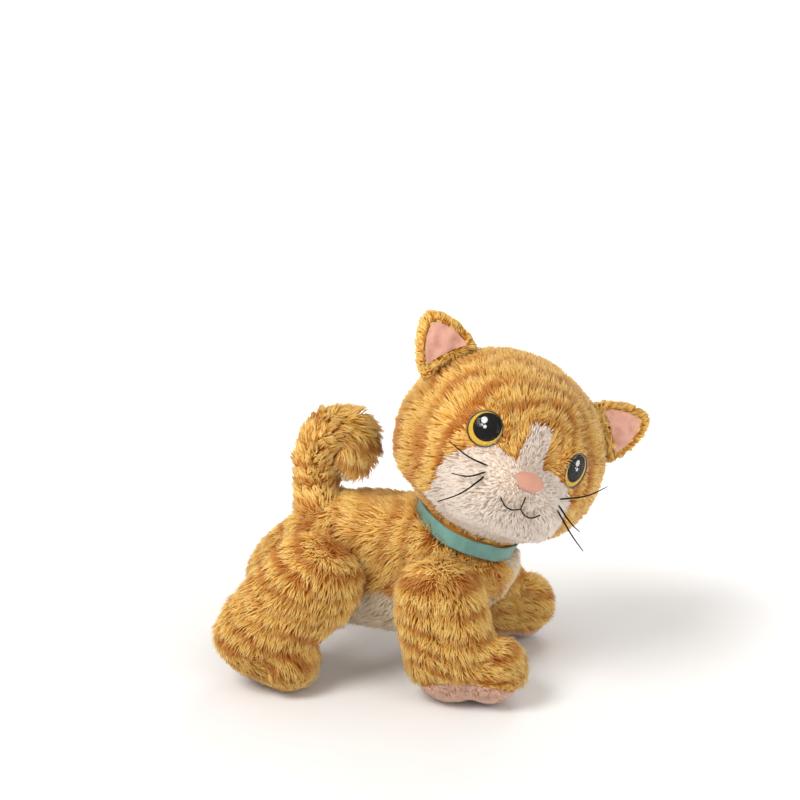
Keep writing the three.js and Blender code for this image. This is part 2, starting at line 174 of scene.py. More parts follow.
class Recipe:
    """A material written node by node."""

    def __init__(self, name: str) -> None:
        """Args: name: the finish's plain name."""
        self.material = bpy.data.materials.new(name)
        self.material.use_nodes = True
        self.tree = self.material.node_tree
        self.bsdf = self.tree.nodes["Principled BSDF"]

    def node(self, kind: str, settings: dict, inputs: dict, output: int | str = 0) -> Shade:
        """Adds a node.

        Args:
            kind: the node's type.
            settings: its properties, set before its sockets.
            inputs: a number, colour or Shade for each socket, by index or name.
            output: which output the result stands for.
        Returns:
            The chosen output.
        """
        made = self.tree.nodes.new(kind)
        for key, value in settings.items():
            setattr(made, key, value)
        for key, value in inputs.items():
            self.feed(made.inputs[key], value)
        return Shade(self, made.outputs[output])

    def feed(self, socket: bpy.types.NodeSocket, value: "Shade | float | Sequence[float]") -> None:
        """Links a Shade to a socket, or sets the socket to a number or colour."""
        if isinstance(value, Shade):
            self.tree.links.new(value.socket, socket)
        else:
            socket.default_value = value

    def place(self) -> Shade:
        """Object coordinates."""
        return self.node("ShaderNodeTexCoord", {}, {}, "Object")

    def attribute(self, name: str) -> Shade:
        """A number stored on the mesh."""
        return self.node("ShaderNodeAttribute", {"attribute_name": name}, {}, "Fac")

    def noise(self, size_mm: float, detail: float = 2.0, vector: Optional[Shade] = None) -> Shade:
        """Cloudy noise with lumps of about this size."""
        inputs = {"Vector": vector or self.place(), "Scale": 1 / (size_mm * MM), "Detail": detail}
        return self.node("ShaderNodeTexNoise", {}, inputs, 0)

    def mix(self, factor: "Shade | float", first: object, second: object) -> Shade:
        """A colour between two others."""
        inputs = {0: factor, 6: first, 7: second}
        return self.node("ShaderNodeMix", {"data_type": "RGBA"}, inputs, 2)

    def bump(self, height: Shade, strength: float, distance_mm: float) -> None:
        """Raises the surface by a height field."""
        inputs = {"Strength": strength, "Distance": distance_mm * MM, "Height": height}
        self.feed(self.bsdf.inputs["Normal"], self.node("ShaderNodeBump", {}, inputs, "Normal"))

    def surface(self, **sockets: object) -> None:
        """Sets the surface's sockets; an underscore in a keyword stands for a space."""
        for key, value in sockets.items():
            self.feed(self.bsdf.inputs[key.replace("_", " ")], value)


# ---- finishes ----------------------------------------------------------------------------
@dataclass(frozen=True)
class PileFinish:
    """Plush fibre that darkens to its root and pales to its tip, in two tabby tones; the darker root is partly
    the fibre's own tone and partly painted shade deep in the pile.
    """

    name: str
    ground: Colour
    stripe: Colour
    root: Colour
    tip: Colour
    roughness: float = 0.62

    def material(self) -> bpy.types.Material:
        """Returns: the fibre's material, which reads along, tone and stripe on the mesh."""
        recipe = Recipe(self.name)
        along = recipe.attribute("along")
        tone = recipe.attribute("tone")
        stripe = recipe.attribute("stripe")
        body = recipe.mix(stripe, self.ground, self.stripe)
        # Darker towards the root: partly the fibre's own tone, partly painted shade among the pile's roots.
        root_shaded = recipe.mix(0.75 - along.ramp(0.0, 0.75) * 0.75, body, self.root)
        tipped = recipe.mix(along.ramp(0.35, 1.0) * (1 - stripe * 0.75) * 0.8, root_shaded, self.tip)
        varied = recipe.mix(tone.ramp(0.5, 1.0) * (1 - stripe * 0.7) * 0.45, tipped, self.tip)
        shaded = recipe.mix((1 - tone.ramp(0.0, 0.45)) * 0.18, varied, self.stripe)
        recipe.surface(Base_Color=shaded, Roughness=self.roughness, Sheen_Weight=0.08, Sheen_Roughness=0.5)
        recipe.surface(Specular_IOR_Level=0.25)
        return recipe.material


@dataclass(frozen=True)
class BackingFinish:
    """The knitted cloth that the pile stands on, seen between the fibres."""

    name: str
    ground: Colour
    deep: Colour
    patch: Colour

    def material(self) -> bpy.types.Material:
        """Returns: a fuzzy cloth with short cropped fibre, in a second colour where patch is 1."""
        recipe = Recipe(self.name)
        stripe = recipe.attribute("stripe")
        fuzz = recipe.noise(0.7, 3.0)
        ginger = recipe.mix(stripe, self.ground, self.deep)
        base = recipe.mix(recipe.attribute("patch"), ginger, self.patch)
        recipe.surface(Base_Color=recipe.mix(fuzz * 0.6, base, self.deep), Roughness=0.95, Sheen_Weight=0.3)
        recipe.bump(fuzz, 0.8, 0.6)
        return recipe.material


@dataclass(frozen=True)
class VelourFinish:
    """Short brushed cloth, for the nose, with faint clouding."""

    name: str
    ground: Colour
    deep: Colour

    def material(self) -> bpy.types.Material:
        """Returns: the brushed cloth."""
        recipe = Recipe(self.name)
        fuzz = recipe.noise(0.35, 4.0)
        clouds = recipe.noise(5.0, 2.0)
        colour = recipe.mix(clouds * 0.5 + fuzz * 0.3, self.ground, self.deep)
        recipe.surface(Base_Color=colour, Roughness=0.8, Sheen_Weight=0.5, Sheen_Roughness=0.4)
        recipe.bump(fuzz, 0.6, 0.25)
        return recipe.material


@dataclass(frozen=True)
class SatinFinish:
    """Woven cloth with a fine cross thread and a soft lustre."""

    name: str
    ground: Colour
    deep: Colour
    thread_mm: float
    roughness: float
    sheen: float

    def material(self) -> bpy.types.Material:
        """Returns: the woven cloth; the weave follows the piece's own UV map, in millimetres."""
        recipe = Recipe(self.name)
        weave = recipe.node("ShaderNodeUVMap", {"uv_map": "weave"}, {}, 0)
        across, along = (recipe.node("ShaderNodeSeparateXYZ", {}, {0: weave}, axis) for axis in ("X", "Y"))
        turn = 2 * math.pi / self.thread_mm
        threads = (across * turn).sine() * 0.5 + (along * turn).sine() * 0.5
        wear = recipe.noise(6.0, 3.0)
        colour = recipe.mix(wear.ramp(0.35, 0.75) * 0.55 + threads * 0.12, self.ground, self.deep)
        recipe.surface(Base_Color=colour, Roughness=self.roughness, Sheen_Weight=self.sheen)
        recipe.bump(threads + recipe.noise(1.2, 2.0), 0.35, 0.15)
        return recipe.material


@dataclass(frozen=True)
class PlasticFinish:
    """Moulded plastic with faint handling marks."""

    name: str
    colour: Colour
    roughness: float
    coat: float = 0.0

    def material(self) -> bpy.types.Material:
        """Returns: the plastic."""
        recipe = Recipe(self.name)
        marks = recipe.noise(1.5, 5.0)
        lighter = tuple(min(1.0, c * 1.25 + 0.004) for c in self.colour[:3]) + (1.0,)
        recipe.surface(Base_Color=recipe.mix(marks.ramp(0.5, 0.8), self.colour, lighter))
        recipe.surface(Roughness=marks * 0.12 + self.roughness, Coat_Weight=self.coat, Coat_Roughness=0.03)
        return recipe.material


@dataclass(frozen=True)
class ThreadFinish:
    """Dark twisted thread."""

    name: str
    colour: Colour
    twist_mm: float = 0.8

    def material(self) -> bpy.types.Material:
        """Returns: the thread."""
        recipe = Recipe(self.name)
        fibre = recipe.noise(self.twist_mm, 3.0)
        lighter = tuple(min(1.0, c * 2 + 0.002) for c in self.colour[:3]) + (1.0,)
        recipe.surface(Base_Color=recipe.mix(fibre.ramp(0.45, 0.8) * 0.6, self.colour, lighter))
        recipe.surface(Roughness=0.6, Specular_IOR_Level=0.2)
        recipe.bump(fibre, 0.5, 0.1)
        return recipe.material


@dataclass(frozen=True)
class IrisFinish:
    """The print behind a clear eye: black pupil with white painted highlights that stand in for the lamp's
    reflection, streaked amber ring, dark edge.
    """

    name: str
    amber: Colour
    honey: Colour
    edge_mm: float
    pupil: tuple[float, float, float]
    painted_highlights: tuple[tuple[float, float, float], ...]

    def material(self) -> bpy.types.Material:
        """Returns: the print; each disc in it is given as leftward and upward place and radius."""
        recipe = Recipe(self.name)
        face = recipe.node("ShaderNodeUVMap", {"uv_map": "face"}, {}, 0)

        def outside(disc: tuple[float, float, float]) -> Shade:
            """0 inside a disc and 1 outside it."""
            spot = {0: face, 1: (disc[0], disc[1], 0.0)}
            away = recipe.node("ShaderNodeVectorMath", {"operation": "DISTANCE"}, spot, "Value")
            return away.ramp(disc[2] - 0.12, disc[2] + 0.12)

        black = (0.004, 0.003, 0.003, 1.0)
        amber = recipe.mix(recipe.noise(0.6, 3.0).ramp(0.35, 0.7), self.amber, self.honey)
        colour = recipe.mix(outside((0.0, 0.0, self.edge_mm)), amber, black)
        colour = recipe.mix(outside(self.pupil), black, colour)
        # Painted highlights: white dots on the pupil where the lamp's reflection would show.
        for painted_highlight in self.painted_highlights:
            colour = recipe.mix(outside(painted_highlight), (0.9, 0.9, 0.9, 1.0), colour)
        recipe.surface(Base_Color=colour, Roughness=0.5, Specular_IOR_Level=0.1)
        return recipe.material


@dataclass(frozen=True)
class ClearFinish:
    """Clear plastic that only shows by its gloss."""

    name: str

    def material(self) -> bpy.types.Material:
        """Returns: see-through gloss."""
        recipe = Recipe(self.name)
        recipe.surface(Base_Color=(0, 0, 0, 1), Alpha=0.12, Roughness=0.03)
        recipe.surface(Coat_Weight=0.6, Coat_Roughness=0.02, Coat_IOR=1.6)
        return recipe.material


# Each pile's root colour is darker than its ground: partly the fibre's own tone, partly painted shade deep in
# the pile.
GINGER = PileFinish(
    name="ginger_pile",
    ground=srgb(234, 166, 48), stripe=srgb(184, 98, 2),
    root=srgb(160, 84, 0), tip=srgb(255, 228, 152),
)
CREAM = PileFinish(
    name="cream_pile",
    ground=srgb(240, 222, 206), stripe=srgb(228, 206, 188),
    root=srgb(196, 168, 146), tip=srgb(252, 242, 232),
)
OAT = PileFinish(
    name="oat_pile",
    ground=srgb(232, 210, 180), stripe=srgb(218, 194, 162),
    root=srgb(190, 160, 124), tip=srgb(246, 230, 206),
)
ROSE = PileFinish(
    name="rose_pile",
    ground=srgb(240, 190, 164), stripe=srgb(224, 164, 138),
    root=srgb(204, 146, 120), tip=srgb(250, 216, 196),
)
CREAM_CLOTH = srgb(236, 220, 200)
ROSE_CLOTH = srgb(222, 172, 148)
GINGER_AND_CREAM = BackingFinish(
    name="ginger_and_cream_cloth",
    ground=srgb(206, 138, 52), deep=srgb(164, 94, 22),
    patch=CREAM_CLOTH,
)
GINGER_AND_ROSE = BackingFinish(
    name="ginger_and_rose_cloth",
    ground=srgb(206, 138, 52), deep=srgb(164, 94, 22),
    patch=ROSE_CLOTH,
)
NOSE_VELOUR = VelourFinish("nose_velour", srgb(196, 144, 124), srgb(172, 118, 100))
EAR_SATIN = SatinFinish("ear_satin", srgb(204, 150, 132), srgb(168, 112, 94), 0.45, 0.5, 0.3)
RIBBON_WEAVE = SatinFinish("ribbon_weave", srgb(100, 146, 138), srgb(76, 116, 110), 0.55, 0.55, 0.3)
FILLING = BackingFinish(
    name="fibre_fill",
    ground=srgb(244, 242, 236), deep=srgb(222, 219, 210),
    patch=srgb(244, 242, 236),
)
THREAD = ThreadFinish("black_thread", srgb(24, 18, 16))
BRISTLE = ThreadFinish("black_bristle", srgb(14, 12, 12))
RIM_PLASTIC = PlasticFinish("rim_plastic", srgb(12, 10, 9), 0.16, 0.6)
WASHER_PLASTIC = PlasticFinish("washer_plastic", srgb(222, 221, 214), 0.42)
# Painted highlights, each a leftward and upward place and radius in millimetres: white dots that stand in for
# the lamp's reflection, set alike in both eyes.
PAINTED_HIGHLIGHTS = ((-2.4, 4.6, 2.0), (-0.4, 1.0, 1.1), (-2.6, 1.4, 0.55))
AMBER, HONEY = srgb(226, 172, 36), srgb(252, 214, 96)
IRIS_PRINTS_WITH_HIGHLIGHTS = {side: IrisFinish(f"iris_print_with_painted_highlights_{side}", AMBER, HONEY, 10.7, (-1.0 * out, 1.3, 8.9), PAINTED_HIGHLIGHTS)
               for side, out in SIDES.items()}
CLEAR_DOME = ClearFinish("clear_dome")


# ---- making meshes -----------------------------------------------------------------------
def deselect_all() -> None:
    """Leaves nothing selected."""
    for thing in bpy.context.selected_objects:
        thing.select_set(False)


def activate(thing: bpy.types.Object) -> None:
    """Makes one object the only selected one."""
    deselect_all()
    thing.select_set(True)
    bpy.context.view_layer.objects.active = thing


def added(name: str) -> bpy.types.Object:
    """Names the primitive that was just added and returns it."""
    thing = bpy.context.active_object
    thing.name = name
    thing.data.name = name
    return thing


def settle(thing: bpy.types.Object, place: Optional[Matrix] = None) -> None:
    """Puts an object's place, turn and size into its mesh."""
    thing.data.transform((place or Matrix()) @ thing.matrix_world)
    thing.matrix_world = Matrix()
    thing.data.update()


def apply_modifier(thing: bpy.types.Object, kind: str, **settings: object) -> None:
    """Adds a modifier with these settings and applies it."""
    activate(thing)
    modifier = thing.modifiers.new(kind.lower(), kind)
    for key, value in settings.items():
        setattr(modifier, key, value)
    bpy.ops.object.modifier_apply(modifier=modifier.name)


def in_edit_mode(thing: bpy.types.Object, *steps: Callable[[], object]) -> None:
    """Runs operators on the whole of an object's mesh in edit mode."""
    activate(thing)
    bpy.ops.object.mode_set(mode="EDIT")
    bpy.ops.mesh.select_all(action="SELECT")
    for step in steps:
        step()
    bpy.ops.object.mode_set(mode="OBJECT")


def pick_faces(thing: bpy.types.Object, wanted: Callable[[bpy.types.MeshPolygon], bool]) -> None:
    """Opens an object in edit mode with only the wanted faces selected."""
    activate(thing)
    bpy.ops.object.mode_set(mode="EDIT")
    bpy.ops.mesh.select_mode(type="FACE")
    bpy.ops.mesh.select_all(action="DESELECT")
    bpy.ops.object.mode_set(mode="OBJECT")
    for polygon in thing.data.polygons:
        polygon.select = bool(wanted(polygon))
    bpy.ops.object.mode_set(mode="EDIT")


def points_of(thing: bpy.types.Object) -> np.ndarray:
    """An object's vertices as rows."""
    flat = np.empty(len(thing.data.vertices) * 3)
    thing.data.vertices.foreach_get("co", flat)
    return flat.reshape(-1, 3)


def normals_of(thing: bpy.types.Object) -> np.ndarray:
    """An object's vertex normals as rows."""
    flat = np.empty(len(thing.data.vertices) * 3, dtype=np.float32)
    thing.data.vertex_normals.foreach_get("vector", flat)
    return flat.reshape(-1, 3).astype(float)


def move_points(thing: bpy.types.Object, points: np.ndarray) -> None:
    """Sets an object's vertices."""
    thing.data.vertices.foreach_set("co", points.ravel())
    thing.data.update()


def store(thing: bpy.types.Object, name: str, values: np.ndarray) -> None:
    """Stores one number for each vertex."""
    layer = thing.data.attributes.new(name, "FLOAT", "POINT")
    layer.data.foreach_set("value", values.astype(np.float32))


def dress(thing: bpy.types.Object, material: bpy.types.Material) -> None:
    """Gives an object one material."""
    thing.data.materials.clear()
    thing.data.materials.append(material)


def lay_uv(thing: bpy.types.Object, name: str, flat: np.ndarray) -> None:
    """Lays an object out on a named UV map, its vertices at these flat places."""
    layer = thing.data.uv_layers.new(name=name)
    corners = np.empty(len(thing.data.loops), dtype=np.int32)
    thing.data.loops.foreach_get("vertex_index", corners)
    layer.data.foreach_set("uv", flat[corners].astype(np.float32).ravel())


def hang(thing: bpy.types.Object, body: str, nodes: Sequence[str]) -> None:
    """Fixes a finished piece to its body, in place of the frame nodes that it stands for."""
    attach(thing, body)
    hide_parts(*nodes)


def copy_of(name: str, nodes: Sequence[str]) -> bpy.types.Object:
    """One new object that holds copies of some frame nodes' meshes, merged at their doubles."""
    deselect_all()
    copies = []
    for node in nodes:
        copy = frame["nodes"][node].copy()
        copy.data = copy.data.copy()
        copy.parent = None
        copy.matrix_world = Matrix()
        copy.hide_render = False
        copy.hide_viewport = False
        for key in list(copy.keys()):
            del copy[key]
        bpy.context.scene.collection.objects.link(copy)
        copy.select_set(True)
        copies.append(copy)
    bpy.context.view_layer.objects.active = copies[0]
    if len(copies) > 1:
        bpy.ops.object.join()
    thing = added(name)
    in_edit_mode(thing, lambda: bpy.ops.mesh.remove_doubles(threshold=0.02 * MM))
    return thing


def keep_outer_shell(thing: bpy.types.Object) -> None:
    """Deletes every loose part but the one that holds the lowest vertex."""
    lowest = int(points_of(thing)[:, 2].argmin())
    activate(thing)
    bpy.ops.object.mode_set(mode="EDIT")
    bpy.ops.mesh.select_all(action="DESELECT")
    bpy.ops.object.mode_set(mode="OBJECT")
    thing.data.vertices[lowest].select = True
    bpy.ops.object.mode_set(mode="EDIT")
    bpy.ops.mesh.select_linked()
    bpy.ops.mesh.select_all(action="INVERT")
    bpy.ops.mesh.delete(type="VERT")
    bpy.ops.object.mode_set(mode="OBJECT")


def puff(thing: bpy.types.Object, pressure: float, cap_mm: float) -> None:
    """Lets stuffing push a cloth form out, no point further than the cap."""
    before = points_of(thing)
    activate(thing)
    modifier = thing.modifiers.new("stuffing", "CLOTH")
    cloth = modifier.settings
    cloth.use_pressure = True
    cloth.uniform_pressure_force = pressure
    cloth.effector_weights.gravity = 0
    cloth.tension_stiffness = 40
    cloth.compression_stiffness = 40
    cloth.quality = 4
    modifier.collision_settings.use_collision = False
    modifier.point_cache.frame_end = 20
    for step in range(1, 21):
        bpy.context.scene.frame_set(step)
    bpy.ops.object.modifier_apply(modifier=modifier.name)
    bpy.context.scene.frame_set(1)
    shift = points_of(thing) - before
    length = np.linalg.norm(shift, axis=1, keepdims=True)
    shift *= np.minimum(1.0, cap_mm * MM / np.maximum(length, 1e-9))
    move_points(thing, before + shift)


def stuffed_form(name: str, nodes: Sequence[str], voxel_mm: float, inset_mm: "float | Field",
                 rounds: int = 8) -> bpy.types.Object:
    """A rounded cloth form round some frame nodes.

    Args:
        name: the new piece's name.
        nodes: the frame nodes that it covers.
        voxel_mm: the size of its mesh.
        inset_mm: how far it lies inside them, everywhere or at each point, to leave room for the pile.
        rounds: how much it is smoothed.
    Returns:
        The form, one closed shell.
    """
    form = copy_of(name, nodes)
    form.data.remesh_voxel_size = voxel_mm * MM
    form.data.remesh_voxel_adaptivity = 0
    activate(form)
    bpy.ops.object.voxel_remesh()
    keep_outer_shell(form)
    apply_modifier(form, "SMOOTH", factor=0.5, iterations=rounds)
    puff(form, 4.0, 2.0)
    depth = inset_mm(points_of(form))[:, None] if callable(inset_mm) else inset_mm
    move_points(form, points_of(form) - normals_of(form) * depth * MM)
    activate(form)
    bpy.ops.object.shade_smooth()
    return form


# ---- pile --------------------------------------------------------------------------------
class Lock:
    """One lock of fibre: a three-sided spike, cut in two along its length."""

    def __init__(self) -> None:
        """Models the lock upright, with a radius of one and a length of one."""
        bpy.ops.mesh.primitive_cone_add(vertices=3, radius1=1.0, radius2=0.72, depth=0.5, location=(0, 0, 0.25))
        lock = added("lock")
        settle(lock)
        pick_faces(lock, lambda face: face.center.z > 0.45)
        bpy.ops.mesh.extrude_region_move(TRANSFORM_OT_translate={"value": (0, 0, 0.5)})
        bpy.ops.mesh.merge(type="CENTER")
        bpy.ops.mesh.select_mode(type="VERT")
        bpy.ops.object.mode_set(mode="OBJECT")
        self.points = points_of(lock)
        self.faces = [list(p.vertices) for p in lock.data.polygons]
        bpy.data.objects.remove(lock)


@dataclass
class Coat:
    """One kind of pile on a stuffed form, and how it is cut, combed and coloured."""

    name: str
    finish: PileFinish
    slot: Slot
    length_mm: float
    comb: Field
    keep: Optional[Field] = None
    stripe: Optional[Field] = None
    trim: Optional[Field] = None
    per_mm2: float = 1.05
    width_mm: float = 0.4
    lean: tuple[float, float] = (38.0, 68.0)
    clump_mm: float = 4.0
    clumping: float = 0.36
    most: int = 13_500


@dataclass
class Surface:
    """A triangle mesh that can be sampled evenly."""

    points: np.ndarray
    normals: np.ndarray
    corners: np.ndarray

    @classmethod
    def of(cls, form: bpy.types.Object) -> "Surface":
        """Reads a form's surface."""
        mesh = form.data
        mesh.calc_loop_triangles()
        corners = np.empty(len(mesh.loop_triangles) * 3, dtype=np.int32)
        mesh.loop_triangles.foreach_get("vertices", corners)
        return cls(points_of(form), normals_of(form), corners.reshape(-1, 3))

    def sample(self, draw: np.random.Generator, per_mm2: float) -> tuple[np.ndarray, np.ndarray]:
        """Evenly scattered places.

        Args:
            draw: the random source.
            per_mm2: how many for each square millimetre.
        Returns:
            The places and the surface normal at each.
        """
        a, b, c = (self.points[self.corners[:, k]] for k in range(3))
        areas = np.linalg.norm(np.cross(b - a, c - a), axis=1) / 2
        count = int(areas.sum() / MM**2 * per_mm2)
        chosen = draw.choice(len(areas), count, p=areas / areas.sum())
        first = np.sqrt(draw.random(count))[:, None]
        second = draw.random(count)[:, None]
        weights = (1 - first, first * (1 - second), first * second)
        picked = self.corners[chosen]
        places = sum(w * self.points[picked[:, k]] for k, w in enumerate(weights))
        normals = unit(sum(w * self.normals[picked[:, k]] for k, w in enumerate(weights)))
        return places, normals


class Planter:
    """Plants locks on stuffed forms.

    leader_share is the part of the locks that others clump towards; sway and stray are how far the comb's
    direction wanders slowly over the form and from lock to lock.
    """

    leader_share = 0.035
    sway = 0.28
    stray = 0.22

    def __init__(self) -> None:
        """Models the one lock that all pile is copied from."""
        self.lock = Lock()
        self.materials: dict[str, bpy.types.Material] = {}

    def material(self, finish: object) -> bpy.types.Material:
        """The material of a finish, made once."""
        if finish.name not in self.materials:
            self.materials[finish.name] = finish.material()
        return self.materials[finish.name]

    def clumps(self, places: np.ndarray, tips: np.ndarray, spacing: float,
               draw: np.random.Generator) -> np.ndarray:
        """How each lock's tip would move to meet its clump's leader, at most by the spacing."""
        share = max(1, int(len(places) * self.leader_share))
        leaders = draw.choice(len(places), share, replace=False)
        tree = KDTree(share)
        for index, leader in enumerate(leaders):
            tree.insert(places[leader], index)
        tree.balance()
        nearest = np.fromiter((tree.find(p)[1] for p in places), dtype=int, count=len(places))
        reach = unit(tips[leaders[nearest]] - tips) * spacing
        full = tips[leaders[nearest]] - tips
        short = np.linalg.norm(full, axis=1, keepdims=True) < spacing
        return np.where(short, full, reach)

    def grow(self, form: bpy.types.Object, coat: Coat, seed: int) -> bpy.types.Object:
        """Plants one coat.

        Args:
            form: the stuffed form that it stands on.
            coat: the kind of pile.
            seed: picks the scatter.
        Returns:
            The pile, one mesh of closed locks.
        """
        draw = np.random.default_rng(seed)
        places, normals = Surface.of(form).sample(draw, coat.per_mm2)
        if coat.keep is not None:
            stays = draw.random(len(places)) < coat.keep(places)
            places, normals = places[stays], normals[stays]
        if len(places) > coat.most:
            places, normals = places[: coat.most], normals[: coat.most]
        count = len(places)
        sway = np.stack([Ripple(seed + k, 26)(places) for k in range(3)], axis=1)
        heading = coat.comb(places) + self.sway * sway + self.stray * draw.normal(size=(count, 3))
        heading = unit(heading - (heading * normals).sum(axis=1, keepdims=True) * normals)
        length = coat.length_mm * MM * draw.uniform(0.72, 1.15, count)
        if coat.trim is not None:
            length = length * coat.trim(places)
        length = length[:, None]
        low, high = (np.radians(coat.lean[k] + draw.normal(0, 9, count))[:, None] for k in range(2))
        knee = places + 0.5 * length * (np.cos(low) * normals + np.sin(low) * heading)
        tip = knee + 0.5 * length * (np.cos(high) * normals + np.sin(high) * heading)
        pull = self.clumps(places, tip, coat.clump_mm * MM, draw)
        knee = knee + 0.25 * coat.clumping * pull
        tip = tip + coat.clumping * pull
        pile = self.build(coat, places, knee, tip, normals, heading, draw)
        stripe = coat.stripe(places) if coat.stripe is not None else np.zeros(count)
        store(pile, "stripe", np.repeat(np.clip(stripe, 0, 1), len(self.lock.points)))
        dress(pile, self.material(coat.finish))
        return pile

    def build(self, coat: Coat, roots: np.ndarray, knees: np.ndarray, tips: np.ndarray, normals: np.ndarray,
              headings: np.ndarray, draw: np.random.Generator) -> bpy.types.Object:
        """Copies the lock along each root, knee and tip, and joins the copies in one mesh."""
        count, per = len(roots), len(self.lock.points)
        t = self.lock.points[:, 2][None, :, None]
        spine = ((1 - t) ** 2 * roots[:, None] + 2 * t * (1 - t) * (2 * knees - 0.5 * (roots + tips))[:, None]
                 + t**2 * tips[:, None])
        across = unit(np.cross(normals, headings))[:, None]
        through = unit(np.cross(unit(tips - roots), across[:, 0]))[:, None]
        radius = coat.width_mm * MM * draw.uniform(0.75, 1.25, count)[:, None, None]
        ring = self.lock.points[None, :, :2]
        points = spine + radius * (ring[..., :1] * across + ring[..., 1:] * through)
        points[..., 2] = np.maximum(points[..., 2], 0.15 * MM)
        mesh = bpy.data.meshes.new(coat.name)
        mesh.vertices.add(count * per)
        mesh.vertices.foreach_set("co", points.ravel())
        corner = np.concatenate([np.array(face) for face in self.lock.faces])
        sizes = np.array([len(face) for face in self.lock.faces])
        loops = (corner[None] + per * np.arange(count)[:, None]).ravel()
        mesh.loops.add(len(loops))
        mesh.loops.foreach_set("vertex_index", loops.astype(np.int32))
        totals = np.tile(sizes, count)
        starts = np.concatenate([[0], np.cumsum(totals)[:-1]])
        mesh.polygons.add(len(totals))
        mesh.polygons.foreach_set("loop_start", starts.astype(np.int32))
        mesh.polygons.foreach_set("use_smooth", np.ones(len(totals), dtype=bool))
        self.lay_out(mesh, corner, count)
        mesh.update(calc_edges=True)
        pile = bpy.data.objects.new(coat.name, mesh)
        bpy.context.scene.collection.objects.link(pile)
        store(pile, "along", np.tile(self.lock.points[:, 2], count))
        store(pile, "tone", np.repeat(draw.random(count), per))
        outward = unit(points - spine) + 1e-9
        soft = unit(0.9 * normals[:, None] + 0.3 * headings[:, None] + 0.45 * outward)
        mesh.normals_split_custom_set_from_vertices(soft.reshape(-1, 3).tolist())
        return pile

    def lay_out(self, mesh: bpy.types.Mesh, corner: np.ndarray, count: int) -> None:
        """Gives each lock its own cell of the UV sheet, root at the bottom."""
        side = math.ceil(math.sqrt(count))
        ring, height = self.lock.points[:, :2], self.lock.points[:, 2]
        turn = np.arctan2(ring[:, 1], ring[:, 0]) / (2 * math.pi) + 0.5
        local = np.stack([0.15 + 0.7 * turn, 0.12 + 0.76 * height + 0.04 * np.cos(7 * turn)], axis=1)
        cells = np.stack([np.arange(count) % side, np.arange(count) // side], axis=1)
        sheet = (cells[:, None] + local[corner][None]) / side
        layer = mesh.uv_layers.new(name="OFBake")
        layer.data.foreach_set("uv", sheet.astype(np.float32).ravel())


# ---- where things are --------------------------------------------------------------------
JOINTS: dict[str, dict] = {joint["name"]: joint for joint in frame["record"]["behaviour"]["joints"]}


def centre_of(node: str) -> np.ndarray:
    """The middle of a frame node's box."""
    low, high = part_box(node)
    return (np.array(low) + np.array(high)) / 2


@dataclass(frozen=True)
class Axes:
    """A place with a forward, a left and an up direction."""

    origin: np.ndarray
    forward: np.ndarray
    left: np.ndarray

    @property
    def up(self) -> np.ndarray:
        """The third direction."""
        return np.cross(self.forward, self.left)

    def local(self, points: np.ndarray) -> np.ndarray:
        """Points as forward, left and up distances, in millimetres."""
        return (points - self.origin) @ np.stack([self.forward, self.left, self.up], axis=1) / MM

    def spread(self, rows: np.ndarray) -> np.ndarray:
        """Points of forward, left and up distances in millimetres, in the cat's frame."""
        return self.origin + rows * MM @ np.stack([self.forward, self.left, self.up])

    def matrix(self) -> Matrix:
        """The axes as a placing matrix, its X forward."""
        turn = Matrix((self.forward, self.left, self.up)).transposed()
        return Matrix.Translation(Vector(self.origin)) @ turn.to_4x4()


def head_axes() -> Axes:
    """The head's own axes: it tilts about its forward axis and nods about its left one."""
    forward = unit(np.array(JOINTS["head_tilt"]["axis"], dtype=float))
    left = unit(np.array(JOINTS["head_nod"]["axis"], dtype=float))
    ears = (np.array(JOINTS["ear_right_flop"]["pos_m"]) + np.array(JOINTS["ear_left_flop"]["pos_m"])) / 2
    rise = 35.2 * MM
    return Axes(ears - rise * np.cross(forward, left), forward, left)


def eye_axes(side: str) -> Axes:
    """An eye's axes: forward runs from its washer out through its print."""
    front = centre_of(f"eye_{side}_iris")
    forward = unit(front - centre_of(f"eye_{side}_washer"))
    left = unit(np.cross(head_axes().up, forward))
    return Axes(front, forward, left)


HEAD = head_axes()
NECK_AXIS = unit(np.array(JOINTS["collar_turn"]["axis"], dtype=float))
NECK_PIVOT = np.array(JOINTS["collar_turn"]["pos_m"], dtype=float)


def bands(distance: Field, pitch_mm: float, seed: int, depth: float = 0.95, width: float = 0.16) -> Field:
    """Tabby bands along a distance field, broken and bent a little.

    Args:
        distance: gives each point's distance in millimetres.
        pitch_mm: from one band to the next.
        seed: picks how they bend and fade.
        depth: how strong a band is at most.
        width: the height of the wave that a band starts at; higher is narrower.
    Returns:
        The field, 0 between bands.
    """
    bend, fade = Ripple(seed, 46), Ripple(seed + 1, 34)

    def banded(points: np.ndarray) -> np.ndarray:
        """How much of the stripe tone each point has."""
        phase = distance(points) / pitch_mm + 0.28 * bend(points)
        wave = np.sin(2 * math.pi * phase)
        strength = 0.76 + 0.24 * np.tanh(2 * fade(points))
        return depth * smooth_step(width - 0.15, width + 0.34, wave) * strength

    return banded


